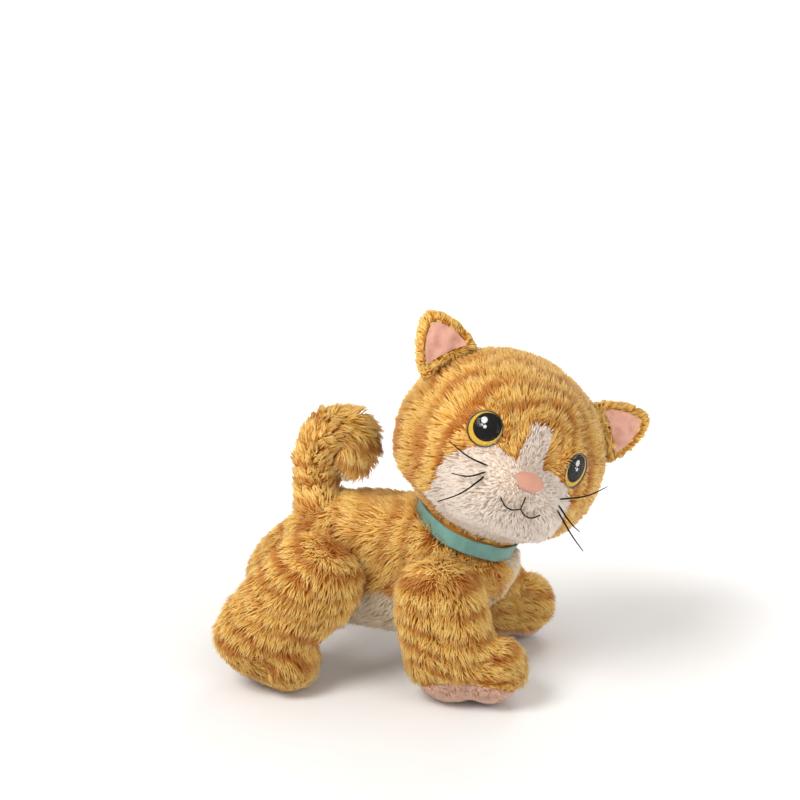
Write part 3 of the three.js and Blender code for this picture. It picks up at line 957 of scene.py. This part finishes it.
# ---- sub-assemblies ----------------------------------------------------------------------
@dataclass
class StuffedPart:
    """A plush part: its backing cloth, its coats of pile and its filling."""

    name: str
    body: str
    skins: Sequence[str]
    filling: Optional[str]
    coats: list[Coat]
    seed: int
    planter: Planter
    backing: BackingFinish = GINGER_AND_CREAM
    patch: Optional[Field] = None
    voxel_mm: float = 2.6
    inset_mm: "float | Field" = 3.2
    shape: Optional[Callable[[bpy.types.Object], None]] = None
    fill: float = 0.85

    def build(self) -> None:
        """Makes the cloth, the pile and the filling, and hangs them on the body."""
        nodes = [*self.skins, *([self.filling] if self.filling else [])]
        cloth = stuffed_form(f"{self.name}_backing", nodes, self.voxel_mm, self.inset_mm)
        if self.shape:
            self.shape(cloth)
        points = points_of(cloth)
        stripe = self.coats[0].stripe
        store(cloth, "stripe", stripe(points) if stripe else np.zeros(len(points)))
        store(cloth, "patch", self.patch(points) if self.patch else np.zeros(len(points)))
        dress(cloth, self.planter.material(self.backing))
        hang(cloth, self.body, self.skins)
        LOG.info("%s: %d faces of cloth", self.name, len(cloth.data.polygons))
        for number, coat in enumerate(self.coats):
            pile = self.planter.grow(cloth, coat, self.seed + 10 * number)
            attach(pile, self.body)
            LOG.info("%s: %d locks", pile.name, len(pile.data.vertices) // len(self.planter.lock.points))
        if self.filling:
            self.fill_up()

    def fill_up(self) -> None:
        """Makes the lumpy fibre inside."""
        fill = stuffed_form(f"{self.filling}_fibre", [self.filling], 4.0, 1.5, rounds=3)
        lumps = Ripple(self.seed + 5, 18)(points_of(fill))
        move_points(fill, points_of(fill) - normals_of(fill) * (0.6 + 0.6 * lumps[:, None]).clip(0) * MM)
        store(fill, "stripe", np.clip(lumps, 0, 1))
        dress(fill, self.planter.material(FILLING))
        hang(fill, self.body, [self.filling])


@dataclass
class Torso:
    """The body of the cat, ginger above and cream along the chest and belly."""

    planter: Planter
    seam_mm: float = 60.0
    chest_half_mm: float = 13.0
    chest_front_mm: float = 23.0
    waist_mm: float = -12.0
    stripe_pitch_mm: float = 17.0

    def cream(self, points: np.ndarray) -> np.ndarray:
        """1 on the cream panel and 0 off it."""
        wander = 1.5 * Ripple(3, 15)(points) * MM
        central = np.abs(points[:, 1]) < self.chest_half_mm * MM + wander
        chest = (points[:, 0] > self.chest_front_mm * MM) & central
        under = points[:, 2] < self.seam_mm * MM + wander
        return (chest | under).astype(float)

    def inset(self, points: np.ndarray) -> np.ndarray:
        """The depth of the pile's room in millimetres, little round the neck and the tail."""
        neck = np.linalg.norm(points - NECK_PIVOT, axis=1) / MM
        tail = np.linalg.norm(points - np.array(JOINTS["tail_wag"]["pos_m"]), axis=1) / MM
        return -0.5 + 3.7 * smooth_step(36, 54, neck) * smooth_step(14, 26, tail)

    def build(self) -> None:
        """Makes the torso."""
        stripes = bands(lambda p: (p[:, 0] - 0.25 * p[:, 2]) / MM, self.stripe_pitch_mm, 11)

        def comb(points: np.ndarray) -> np.ndarray:
            """Back and down, and outward round the neck."""
            out = points - NECK_PIVOT
            out = unit(out - (out @ NECK_AXIS)[:, None] * NECK_AXIS)
            near = 1 - smooth_step(38 * MM, 58 * MM, np.linalg.norm(points - NECK_PIVOT, axis=1))[:, None]
            return (1 - near) * np.array([-0.75, 0.0, -0.55]) + near * (0.7 * out - 0.2 * UP)

        ginger = lambda p: 1 - self.cream(p)
        shoulders = lambda p: ginger(p) * (p[:, 0] > self.waist_mm * MM)
        rump = lambda p: ginger(p) * (p[:, 0] <= self.waist_mm * MM)
        coats = [
            Coat("shoulder_pile", GINGER, Slot.ORANGE_PLUSH, 10.0, comb, shoulders, stripes, per_mm2=1.35),
            Coat("rump_pile", GINGER, Slot.ORANGE_PLUSH, 10.0, comb, rump, stripes, per_mm2=1.0),
            Coat("belly_pile", OAT, Slot.WHITE_PLUSH, 7.5, comb, self.cream, per_mm2=0.95),
        ]
        StuffedPart("torso", "torso", ["torso_skin", "belly_panel"], "torso_stuffing", coats, 100, self.planter,
                    patch=self.cream, inset_mm=self.inset).build()


@dataclass
class Leg:
    """One leg with its paw and its rose sole."""

    name: str
    side: int
    planter: Planter
    seed: int
    stripe_pitch_mm: float = 12.8
    front_slope_deg: float = 16.0
    hind_slope_deg: float = 28.0
    front_seam_mm: float = 8.5
    front_arch_mm: float = 6.5
    paw_middle_mm: float = 55.0
    ankle_mm: float = 30.0

    @property
    def hind(self) -> bool:
        """Whether this is a hind leg."""
        return self.name.startswith("hind")

    def above_seam(self, points: np.ndarray) -> np.ndarray:
        """Height over the sole's slanting seam."""
        low, high = (np.array(corner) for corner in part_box(f"leg_{self.name}_sole_pad"))
        ahead = points[:, 0] - (low[0] + high[0]) / 2
        if self.hind:
            return points[:, 2] - (high[2] * 0.42 - ahead * math.tan(math.radians(self.hind_slope_deg)))
        arch = self.front_arch_mm * MM * (1 - np.clip(ahead / ((high[0] - low[0]) / 2), -1, 1) ** 2)
        outward = self.side * points[:, 1] - self.paw_middle_mm * MM
        seam = self.front_seam_mm * MM + arch + outward * math.tan(math.radians(self.front_slope_deg))
        return points[:, 2] - seam

    def sole(self, points: np.ndarray) -> np.ndarray:
        """1 under the sole's seam and 0 above it."""
        return (self.above_seam(points) < 0).astype(float)

    def round_sole(self, form: bpy.types.Object) -> None:
        """Fills the waist between heel and toes, so that the sole is one oval."""
        points = points_of(form)
        ground = points[points[:, 2] < 11 * MM]
        middle = (ground[:, 1].min() + ground[:, 1].max()) / 2
        edges = np.linspace(ground[:, 0].min(), ground[:, 0].max(), 15)
        stations = (edges[:-1] + edges[1:]) / 2
        slot = np.clip(np.digitize(ground[:, 0], edges) - 1, 0, len(stations) - 1)
        offset = np.abs(ground[:, 1] - middle)
        width = np.array([offset[slot == k].max(initial=1 * MM) for k in range(len(stations))])
        full = width.copy()
        for first in range(len(stations)):
            for last in range(first + 2, len(stations)):
                between = np.arange(first + 1, last)
                chord = np.interp(between, [first, last], [width[first], width[last]])
                full[between] = np.maximum(full[between], chord)
        swell = np.interp(points[:, 0], stations, full / width) - 1
        points[:, 1] += swell * smooth_step(26 * MM, 9 * MM, points[:, 2]) * (points[:, 1] - middle)
        move_points(form, points)

    def build(self) -> None:
        """Makes the leg."""
        name = f"leg_{self.name}"
        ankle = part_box(f"{name}_skin")[0][2] + self.ankle_mm * MM
        rake = 0.55 if self.hind else 0.1
        back = -0.45 if self.hind else 0.05
        cropped = (15 if self.hind else 11) * MM
        stripes = bands(lambda p: (p[:, 2] + rake * p[:, 0]) / MM, self.stripe_pitch_mm, self.seed)

        def comb(points: np.ndarray) -> np.ndarray:
            """Down the leg, and forward over the toes."""
            toes = smooth_step(ankle + 12 * MM, ankle - 6 * MM, points[:, 2])[:, None]
            down = np.array([back, 0.15 * self.side, -1.0])
            ahead = np.array([0.75, 0.2 * self.side, -0.45])
            return down * (1 - toes) + ahead * toes

        ginger = lambda p: 1 - self.sole(p)
        trim = lambda p: 0.3 + 0.7 * smooth_step(0.0, cropped, self.above_seam(p))
        coats = [
            Coat(f"{name}_pile", GINGER, Slot.ORANGE_PLUSH, 10.0, comb, ginger, stripes, trim),
            Coat(f"{name}_sole_pile", ROSE, Slot.PINK_PILE, 3.2, comb, self.sole, per_mm2=1.7, width_mm=0.42,
                 lean=(20, 50), clump_mm=2.0, clumping=0.3),
        ]
        StuffedPart(name, name, [f"{name}_skin", f"{name}_sole_pad"], f"{name}_stuffing", coats, self.seed,
                    self.planter, backing=GINGER_AND_ROSE, patch=self.sole, shape=self.round_sole).build()


@dataclass
class Tail:
    """The curled tail with its shaggy tip."""

    planter: Planter

    def build(self) -> None:
        """Makes the tail."""
        low, high = (np.array(corner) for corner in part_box("tail_skin"))
        curl = np.array([low[0] + 26 * MM, (low[1] + high[1]) / 2, high[2] - 27 * MM])
        mouth = np.array(JOINTS["tail_wag"]["pos_m"])

        def comb(points: np.ndarray) -> np.ndarray:
            """Up the tail and round its curl."""
            round_curl = unit(np.cross(np.array([0.0, 1.0, 0.0]), points - curl))
            rising = smooth_step(-4 * MM, 12 * MM, points[:, 2] - curl[2])[:, None]
            front = (points[:, 0] > curl[0])[:, None]
            return np.where(front, round_curl, UP * (1 - rising) + round_curl * rising)

        rings = bands(lambda p: (p[:, 2] + 0.3 * p[:, 0]) / MM, 15.0, 71)
        shaggy = lambda p: 1 + 0.35 * smooth_step(-10 * MM, 14 * MM, p[:, 0] - curl[0])
        showing = lambda p: (p[:, 2] > mouth[2] - 6 * MM).astype(float)
        coats = [Coat("tail_pile", GINGER, Slot.ORANGE_PLUSH, 10.5, comb, showing, rings, shaggy, per_mm2=1.75,
                      lean=(26, 52), clump_mm=4.5, clumping=0.6)]
        StuffedPart("tail", "tail", ["tail_skin"], "tail_stuffing", coats, 700, self.planter,
                    voxel_mm=1.8, inset_mm=2.6).build()


@dataclass
class Neck:
    """The plush sleeve between torso and head."""

    planter: Planter

    def build(self) -> None:
        """Makes the sleeve; its pile is kept off the ribbon."""
        def clear_of_ribbon(points: np.ndarray) -> np.ndarray:
            """1 above and below the ribbon, 0 under it."""
            height = (points - NECK_PIVOT) @ NECK_AXIS
            outer = np.linalg.norm(points - NECK_PIVOT, axis=1) > 29.5 * MM
            return (((height > 5.5 * MM) | (height < -6.3 * MM)) & outer).astype(float)

        def parted(points: np.ndarray) -> np.ndarray:
            """Up above the ribbon and down below it."""
            return np.sign((points - NECK_PIVOT) @ NECK_AXIS)[:, None] * NECK_AXIS

        coats = [Coat("neck_pile", GINGER, Slot.ORANGE_PLUSH, 6.4, parted, clear_of_ribbon, per_mm2=1.1,
                      width_mm=0.44, lean=(14, 44))]
        StuffedPart("neck_sleeve", "neck_cover", ["neck_sleeve"], None, coats, 800, self.planter,
                    voxel_mm=2.0, inset_mm=0.6).build()
        core = stuffed_form("neck_fibre", ["neck_stuffing"], 3.0, 0.8, rounds=2)
        store(core, "stripe", np.zeros(len(core.data.vertices)))
        dress(core, self.planter.material(FILLING))
        hang(core, "neck_core", ["neck_stuffing"])


@dataclass
class Head:
    """The head: ginger crown, cream mask, and a dish round each eye."""

    planter: Planter
    blaze_half_mm: float = 8.0
    blaze_top_mm: float = 21.0
    dish_mm: float = 11.0

    def mask(self, points: np.ndarray) -> np.ndarray:
        """1 on the cream mask with its blaze and 0 off it."""
        f, l, u = HEAD.local(points).T
        wander = 1.3 * Ripple(5, 18)(points)
        lobes = ((np.abs(l) - 20) / (21.5 + wander)) ** 2 + ((u + 28) / (25.5 + wander)) ** 2 < 1
        chin = (l / (36 + wander)) ** 2 + ((u + 37) / (29 + wander)) ** 2 < 1
        fall = self.blaze_top_mm - u
        round_top = np.sqrt(1 - np.clip(1 - fall / self.blaze_half_mm, 0, 1) ** 2)
        width = self.blaze_half_mm * round_top + 0.6 * wander
        blaze = (fall > 0) & (u > -30) & (np.abs(l) < width)
        return ((lobes | chin | blaze) & (f > 8)).astype(float)

    def from_eyes(self, points: np.ndarray) -> np.ndarray:
        """Distance from the nearer eye's axis, in millimetres, on the face only."""
        nearest = np.full(len(points), 99.0)
        for side in SIDES:
            f, l, u = eye_axes(side).local(points).T
            away = np.hypot(l, u) + np.clip(u / 6, 0, 1)
            nearest = np.where(f > -16, np.minimum(nearest, away), nearest)
        return nearest

    def inset(self, points: np.ndarray) -> np.ndarray:
        """The depth of the pile's room in millimetres; the cloth comes down to meet the ribbon."""
        neck = np.linalg.norm(points - NECK_PIVOT, axis=1) / MM
        return -1.5 + 4.1 * smooth_step(36, 58, neck)

    def seat_eyes(self, form: bpy.types.Object) -> None:
        """Draws the cloth to a flat dish behind each eye's rim."""
        points = points_of(form)
        for side in SIDES:
            axes = eye_axes(side)
            rows = axes.local(points)
            near = (rows[:, 0] > -16) & (np.hypot(rows[:, 1], rows[:, 2]) < 19)
            weight = smooth_step(17.5, 12.0, np.hypot(rows[:, 1], rows[:, 2])) * near
            rows[:, 0] += weight * (-0.9 - rows[:, 0])
            points = axes.spread(rows)
        move_points(form, points)

    def build(self) -> None:
        """Makes the head's cloth and coats."""
        nose = HEAD.spread(np.array([[62.0, 0.0, -10.0]]))[0]
        ears = [np.array(JOINTS[f"ear_{side}_flop"]["pos_m"]) for side in SIDES]

        def comb(points: np.ndarray) -> np.ndarray:
            """Away from the nose, up the ears at their roots and down at the jaw."""
            way = unit(points - nose) - 0.15 * HEAD.forward
            for ear in ears:
                near = 1 - smooth_step(12 * MM, 30 * MM, np.linalg.norm(points - ear, axis=1))
                way = way + 1.3 * near[:, None] * unit(ear - HEAD.origin)
            return way

        def from_nose(points: np.ndarray) -> np.ndarray:
            """Distance back from the face, turning to height over the back of the head."""
            rows = HEAD.local(points)
            rear = smooth_step(6, -40, rows[:, 0])
            away = np.linalg.norm((rows - np.array([46.0, 0, -8])) * [0.8, 1, 1], axis=1)
            return away + 0.75 * rows[:, 2] * rear

        arcs = bands(from_nose, 11.5, 21)
        clear = lambda p: (self.from_eyes(p) > self.dish_mm).astype(float)
        ginger = lambda p: (1 - self.mask(p)) * clear(p)
        face = lambda p: HEAD.local(p)[:, 0] > 12
        trim = lambda p: 0.45 + 0.55 * smooth_step(11, 27, self.from_eyes(p))
        off_nose = lambda p: smooth_step(12 * MM, 30 * MM, np.linalg.norm(p - nose, axis=1))
        short = lambda p: trim(p) * (0.55 + 0.45 * off_nose(p))
        masked = lambda p: self.mask(p) * clear(p)
        forehead = lambda p: ginger(p) * face(p)
        rear_top = lambda p: ginger(p) * ~face(p) * (HEAD.local(p)[:, 2] > 4)
        rear_low = lambda p: ginger(p) * ~face(p) * (HEAD.local(p)[:, 2] <= 4)
        coats = [
            Coat("brow_and_cheek_pile", GINGER, Slot.ORANGE_PLUSH, 8.6, comb, forehead, arcs, trim,
                 per_mm2=1.45, width_mm=0.38),
            Coat("crown_pile", GINGER, Slot.ORANGE_PLUSH, 9.6, comb, rear_top, arcs),
            Coat("nape_pile", GINGER, Slot.ORANGE_PLUSH, 10.0, comb, rear_low, arcs, per_mm2=1.0),
            Coat("mask_pile", CREAM, Slot.WHITE_PLUSH, 5.8, comb, masked, trim=short, per_mm2=2.6,
                 width_mm=0.34, lean=(24, 56), clump_mm=2.6, clumping=0.35),
        ]
        StuffedPart("head", "head", ["head_skin", "muzzle_panel"], "head_stuffing", coats, 300, self.planter,
                    patch=self.mask, inset_mm=self.inset, shape=self.seat_eyes).build()


@dataclass
class Ear:
    """One ear: plush back, satin lining."""

    side: str
    planter: Planter

    def build(self) -> None:
        """Makes the ear's cloth, pile and lining."""
        name = f"ear_{self.side}"
        root = np.array(JOINTS[f"{name}_flop"]["pos_m"])
        tip_way = unit(centre_of(f"{name}_outer") - root)
        middle = centre_of(f"{name}_lining")
        lining = self.line(name)
        tree = BVHTree.FromObject(lining, bpy.context.evaluated_depsgraph_get())
        comb = lambda p: 0.8 * tip_way + 1.2 * unit(p - middle)

        def off_lining(points: np.ndarray) -> np.ndarray:
            """1 where the lining doesn't cover the cloth."""
            return np.array([float(tree.find_nearest(point)[3] > 1.1 * MM) for point in points])

        def root_it(form: bpy.types.Object) -> None:
            """Runs the ear's foot down into the pile of the head."""
            points = points_of(form)
            height = (points - root) @ tip_way
            move_points(form, points - smooth_step(7 * MM, 0.0, height)[:, None] * tip_way * 4.5 * MM)

        coats = [Coat(f"{name}_pile", GINGER, Slot.ORANGE_PLUSH, 5.2, comb, off_lining, per_mm2=2.4,
                      width_mm=0.38, lean=(34, 62), clump_mm=3.6, clumping=0.5)]
        StuffedPart(name, name, [f"{name}_outer"], None, coats, 900 + SIDES[self.side], self.planter,
                    voxel_mm=0.9, inset_mm=0.3, shape=root_it, fill=0.3).build()

    def line(self, name: str) -> bpy.types.Object:
        """Makes the satin lining, dished and lightly creased, and returns it."""
        lining = stuffed_form(f"{name}_satin", [f"{name}_lining"], 0.7, 0.0, rounds=3)
        points = points_of(lining)
        middle = centre_of(f"{name}_lining")
        axes = Axes(middle, HEAD.forward, HEAD.left)
        rows = axes.local(points)
        crease = 0.35 * Ripple(940, 9)(points)
        rows[:, 1] += 0.4 * SIDES[self.side]
        rows[:, 0] += crease + 1.3 + 0.5 * np.sin(rows[:, 1] * 0.55 + 0.8)
        move_points(lining, axes.spread(rows))
        lay_uv(lining, "weave", rows[:, 1:])
        dress(lining, self.planter.material(EAR_SATIN))
        hang(lining, name, [f"{name}_lining"])
        return lining


@dataclass
class Eye:
    """One safety eye: black cup, amber print, clear dome, locking washer."""

    side: str
    planter: Planter
    rim_mm: float = 11.4
    print_mm: float = 10.5
    dome_mm: float = 4.0

    def build(self) -> None:
        """Makes the eye's four pieces."""
        axes = eye_axes(self.side)
        turn = axes.matrix() @ Matrix.Rotation(math.pi / 2, 4, "Y")
        name = f"eye_{self.side}"
        self.finish(self.cup(turn), f"{name}_cup", RIM_PLASTIC, Slot.BLACK_PLASTIC)
        iris = self.disc(turn, axes)
        self.finish(iris, f"{name}_iris", IRIS_PRINTS_WITH_HIGHLIGHTS[self.side], Slot.PRINTED_IRIS)
        self.finish(self.dome(turn), f"{name}_dome", CLEAR_DOME, Slot.CLEAR_PLASTIC)
        washer = frame["nodes"][f"{name}_washer"]
        dress(washer, self.planter.material(WASHER_PLASTIC))

    def finish(self, thing: bpy.types.Object, node: str, finish: object, slot: Slot) -> None:
        """Dresses a piece and lets it stand for its frame node."""
        thing.name = f"{node}_moulding"
        dress(thing, self.planter.material(finish))
        hang(thing, "head", [node])

    def cup(self, turn: Matrix) -> bpy.types.Object:
        """The rim and post: a rounded dish with a ribbed shank behind it."""
        bpy.ops.mesh.primitive_cylinder_add(vertices=64, radius=self.rim_mm * MM, depth=3.0 * MM,
                                            location=(0, 0, -0.2 * MM))
        cup = added("cup")
        settle(cup)
        pick_faces(cup, lambda face: face.normal.z > 0.9)
        bpy.ops.mesh.inset(thickness=0.8 * MM)
        bpy.ops.mesh.extrude_region_move(TRANSFORM_OT_translate={"value": (0, 0, -1.0 * MM)})
        bpy.ops.object.mode_set(mode="OBJECT")
        pick_faces(cup, lambda face: face.normal.z < -0.9)
        bpy.ops.mesh.inset(thickness=(self.rim_mm - 2.3) * MM)
        for _ in range(5):
            bpy.ops.mesh.extrude_region_move(TRANSFORM_OT_translate={"value": (0, 0, -1.6 * MM)})
            bpy.ops.transform.resize(value=(0.97, 0.97, 1.0))
        bpy.ops.mesh.select_mode(type="VERT")
        bpy.ops.object.mode_set(mode="OBJECT")
        in_edit_mode(cup, lambda: bpy.ops.mesh.remove_doubles(threshold=0.01 * MM),
                     lambda: bpy.ops.mesh.normals_make_consistent(inside=False))
        apply_modifier(cup, "BEVEL", width=0.25 * MM, segments=3, limit_method="ANGLE")
        settle(cup, turn)
        activate(cup)
        bpy.ops.object.shade_smooth_by_angle(angle=math.radians(40))
        return cup

    def cut_in_half(self) -> None:
        """Keeps the upper half of what is being edited, closed with a flat face."""
        bpy.ops.mesh.bisect(plane_co=(0, 0, 0), plane_no=(0, 0, 1), clear_inner=True, use_fill=True)

    def disc(self, turn: Matrix, axes: Axes) -> bpy.types.Object:
        """The printed disc, slightly domed."""
        bpy.ops.mesh.primitive_uv_sphere_add(segments=48, ring_count=24, radius=self.print_mm * MM)
        disc = added("disc")
        disc.scale = (1, 1, 0.1)
        bpy.ops.object.transform_apply(location=False, rotation=False, scale=True)
        in_edit_mode(disc, self.cut_in_half)
        disc.location = (0, 0, 0.55 * MM)
        bpy.ops.object.transform_apply(location=True, rotation=False, scale=False)
        settle(disc, turn)
        lay_uv(disc, "face", axes.local(points_of(disc))[:, 1:])
        activate(disc)
        bpy.ops.object.shade_smooth_by_angle(angle=math.radians(40))
        return disc

    def dome(self, turn: Matrix) -> bpy.types.Object:
        """The clear dome, closed at its back."""
        bpy.ops.mesh.primitive_uv_sphere_add(segments=64, ring_count=40, radius=self.print_mm * MM)
        dome = added("dome")
        dome.scale = (1, 1, self.dome_mm / self.print_mm)
        bpy.ops.object.transform_apply(location=False, rotation=False, scale=True)
        in_edit_mode(dome, self.cut_in_half)
        dome.location = (0, 0, 1.75 * MM)
        bpy.ops.object.transform_apply(location=True, rotation=False, scale=False)
        settle(dome, turn)
        activate(dome)
        bpy.ops.object.shade_smooth_by_angle(angle=math.radians(40))
        return dome


@dataclass
class Face:
    """Nose, stitched mouth and whiskers."""

    planter: Planter

    def build(self) -> None:
        """Makes the face's small pieces."""
        nose = stuffed_form("nose_velour_pad", ["nose"], 0.5, -0.7, rounds=12)
        rows = HEAD.local(points_of(nose))
        middle = (rows.min(axis=0) + rows.max(axis=0)) / 2
        half = (rows.max(axis=0) - rows.min(axis=0)) / 2
        rise = (rows - middle) / half
        rows[:, 0] += 1.6 * np.clip(1 - rise[:, 1] ** 2 - rise[:, 2] ** 2, 0, 1)
        across = rise[:, 1] * np.sqrt(1 - 0.4 * rise[:, 2] ** 2) * (1.0 + 0.14 * rise[:, 2])
        upward = rise[:, 2] * np.sqrt(1 - 0.4 * rise[:, 1] ** 2)
        rows[:, 1] = middle[1] + 1.08 * half[1] * across
        rows[:, 2] = middle[2] + 1.3 * half[2] * upward
        move_points(nose, HEAD.spread(rows))
        dress(nose, self.planter.material(NOSE_VELOUR))
        hang(nose, "head", ["nose"])
        mouth = stuffed_form("mouth_embroidery", ["mouth_stitching"], 0.25, 0.18, rounds=2)
        dress(mouth, self.planter.material(THREAD))
        hang(mouth, "head", ["mouth_stitching"])
        for side in SIDES:
            for place in ("top", "middle", "bottom"):
                self.whisker(f"whisker_{side}_{place}")

    def whisker(self, node: str) -> None:
        """Smooths one bristle and tapers it to its tip."""
        bristle = copy_of(f"{node}_bristle", [node])
        apply_modifier(bristle, "SUBSURF", levels=1, render_levels=1)
        points = points_of(bristle)
        root = centre_of("nose")
        reach = np.linalg.norm(points - root, axis=1)
        t = (reach - reach.min()) / (reach.max() - reach.min())
        order = np.argsort(t)
        middle = np.empty_like(points)
        window = 14
        for index in range(len(order)):
            group = order[max(0, index - window): index + window + 1]
            middle[order[index]] = points[group].mean(axis=0)
        taper = (1.6 - 0.8 * t)[:, None]
        move_points(bristle, middle + (points - middle) * taper)
        activate(bristle)
        bpy.ops.object.shade_smooth()
        dress(bristle, self.planter.material(BRISTLE))
        hang(bristle, "head", [node])


@dataclass
class Collar:
    """The woven ribbon round the neck."""

    planter: Planter
    radius_mm: float = 34.0
    half_height_mm: float = 5.0
    thickness_mm: float = 0.9

    def build(self) -> None:
        """Makes the ribbon as one closed band with a corded edge."""
        bpy.ops.mesh.primitive_cylinder_add(vertices=144, radius=self.radius_mm * MM,
                                            depth=2 * self.half_height_mm * MM, end_fill_type="NOTHING")
        band = added("collar_ribbon")
        in_edit_mode(band, lambda: bpy.ops.mesh.subdivide(number_cuts=7))
        apply_modifier(band, "SOLIDIFY", thickness=self.thickness_mm * MM, offset=0.0)
        rows = points_of(band) / MM
        angle = np.arctan2(rows[:, 1], rows[:, 0])
        edge = smooth_step(self.half_height_mm - 1.4, self.half_height_mm, np.abs(rows[:, 2]))
        wave = 0.35 * np.sin(5 * angle + 0.7) + 0.2 * np.sin(11 * angle)
        swell = 1 + (0.3 * edge + 0.25 * np.sin(9 * angle + rows[:, 2] * 0.5)) / self.radius_mm
        rows[:, :2] *= swell[:, None]
        rows[:, 2] += wave
        move_points(band, rows * MM)
        lay_uv(band, "weave", np.stack([angle * self.radius_mm, rows[:, 2]], axis=1))
        turn = Vector((0, 0, 1)).rotation_difference(Vector(NECK_AXIS)).to_matrix().to_4x4()
        settle(band, Matrix.Translation(Vector(NECK_PIVOT)) @ turn)
        activate(band)
        bpy.ops.object.shade_smooth()
        dress(band, self.planter.material(RIBBON_WEAVE))
        hang(band, "collar", ["collar_band"])


@dataclass(frozen=True)
class Lamp:
    """One round soft light that faces the cat."""

    name: str
    place_m: tuple[float, float, float]
    watts: float
    width_m: float
    colour: tuple[float, float, float]

    def hang_up(self) -> None:
        """Adds the light to the scene."""
        light = bpy.data.lights.new(self.name, "AREA")
        light.shape = "DISK"
        light.energy = self.watts
        light.size = self.width_m
        light.color = self.colour
        thing = bpy.data.objects.new(self.name, light)
        thing.location = self.place_m
        heart = Vector((0, 0, 0.11))
        thing.rotation_euler = (heart - Vector(self.place_m)).to_track_quat("-Z", "Y").to_euler()
        bpy.context.scene.collection.objects.link(thing)


@dataclass
class Studio:
    """Camera, floor and soft lights."""

    azimuth_deg: float = 10.0
    elevation_deg: float = 19.0
    distance_mm: float = 1300.0
    lens_mm: float = 91.4
    sight_mm: tuple[float, float, float] = (0.0, 0.0, 107.0)
    aim_mm: tuple[float, float] = (-19.2, 68.5)
    lamps: tuple[Lamp, ...] = (
        Lamp("key", (-0.75, -1.0, 1.35), 23.0, 0.9, (1.0, 0.96, 0.9)),
        Lamp("fill", (1.1, -0.9, 0.7), 5.0, 0.9, (0.96, 0.98, 1.0)),
        Lamp("rim", (0.3, 1.3, 1.2), 8.0, 0.8, (1.0, 0.97, 0.93)),
    )

    def build(self) -> None:
        """Sets the camera, the floor and the lights."""
        self.set_camera()
        self.set_floor()
        self.set_lights()

    def set_camera(self) -> None:
        """Looks at the cat from its right, a little above."""
        a, e = math.radians(self.azimuth_deg), math.radians(self.elevation_deg)
        back = Vector((math.sin(a) * math.cos(e), -math.cos(a) * math.cos(e), math.sin(e)))
        right = Vector((math.cos(a), math.sin(a), 0))
        upward = back.cross(right)
        sight = Vector(self.sight_mm) * MM
        aim = sight + (right * self.aim_mm[0] + upward * self.aim_mm[1]) * MM
        camera = bpy.data.objects.new("camera", bpy.data.cameras.new("camera"))
        camera.location = sight + back * self.distance_mm * MM
        camera.rotation_euler = (aim - camera.location).to_track_quat("-Z", "Y").to_euler()
        camera.data.lens = self.lens_mm
        camera.data.sensor_width = 36.0
        bpy.context.scene.collection.objects.link(camera)
        bpy.context.scene.camera = camera

    def set_floor(self) -> None:
        """A wide pale floor that glows white away from the cat, painted light that fades it into the backdrop
        so that it has no horizon.
        """
        bpy.ops.mesh.primitive_plane_add(size=12.0)
        floor = added("floor")
        recipe = Recipe("floor_paper")
        grain = recipe.noise(40.0, 2.0)
        paper = recipe.mix(grain, (0.86, 0.88, 0.92, 1), (0.88, 0.9, 0.94, 1))
        reach = recipe.node("ShaderNodeVectorMath", {"operation": "LENGTH"}, {0: recipe.place()}, "Value")
        # Painted light: the floor emits white that rises with distance from the cat.
        glow = recipe.mix(reach.ramp(0.16, 0.6), (0, 0, 0, 1), (1, 1, 1, 1))
        recipe.surface(Base_Color=paper, Roughness=0.9, Emission_Color=glow, Emission_Strength=0.9)
        dress(floor, recipe.material)

    def set_lights(self) -> None:
        """A warm key from the upper left, a broad fill and a bright room."""
        world = bpy.data.worlds.new("room")
        world.use_nodes = True
        tree = world.node_tree
        glow = tree.nodes["Background"]
        glow.inputs[0].default_value = (1.0, 0.945, 0.855, 1)
        glow.inputs[1].default_value = 0.58
        backdrop = tree.nodes.new("ShaderNodeBackground")
        backdrop.inputs[0].default_value = (1, 1, 1, 1)
        seen = tree.nodes.new("ShaderNodeLightPath")
        both = tree.nodes.new("ShaderNodeMixShader")
        tree.links.new(seen.outputs["Is Camera Ray"], both.inputs[0])
        tree.links.new(glow.outputs[0], both.inputs[1])
        tree.links.new(backdrop.outputs[0], both.inputs[2])
        tree.links.new(both.outputs[0], tree.nodes["World Output"].inputs[0])
        bpy.context.scene.world = world
        for lamp in self.lamps:
            lamp.hang_up()
        bpy.context.scene.view_settings.view_transform = "Standard"


def main() -> None:
    """Builds the cat, piece by piece."""
    logging.basicConfig(level=logging.INFO, format="%(name)s: %(message)s")
    Studio().build()
    planter = Planter()
    Torso(planter).build()
    for number, name in enumerate(("front_right", "front_left", "hind_right", "hind_left")):
        Leg(name, SIDES[name.split("_")[1]], planter, 400 + 37 * number).build()
    Tail(planter).build()
    Neck(planter).build()
    Head(planter).build()
    for side in SIDES:
        Ear(side, planter).build()
        Eye(side, planter).build()
    Face(planter).build()
    Collar(planter).build()


if __name__ == "__main__":
    main()
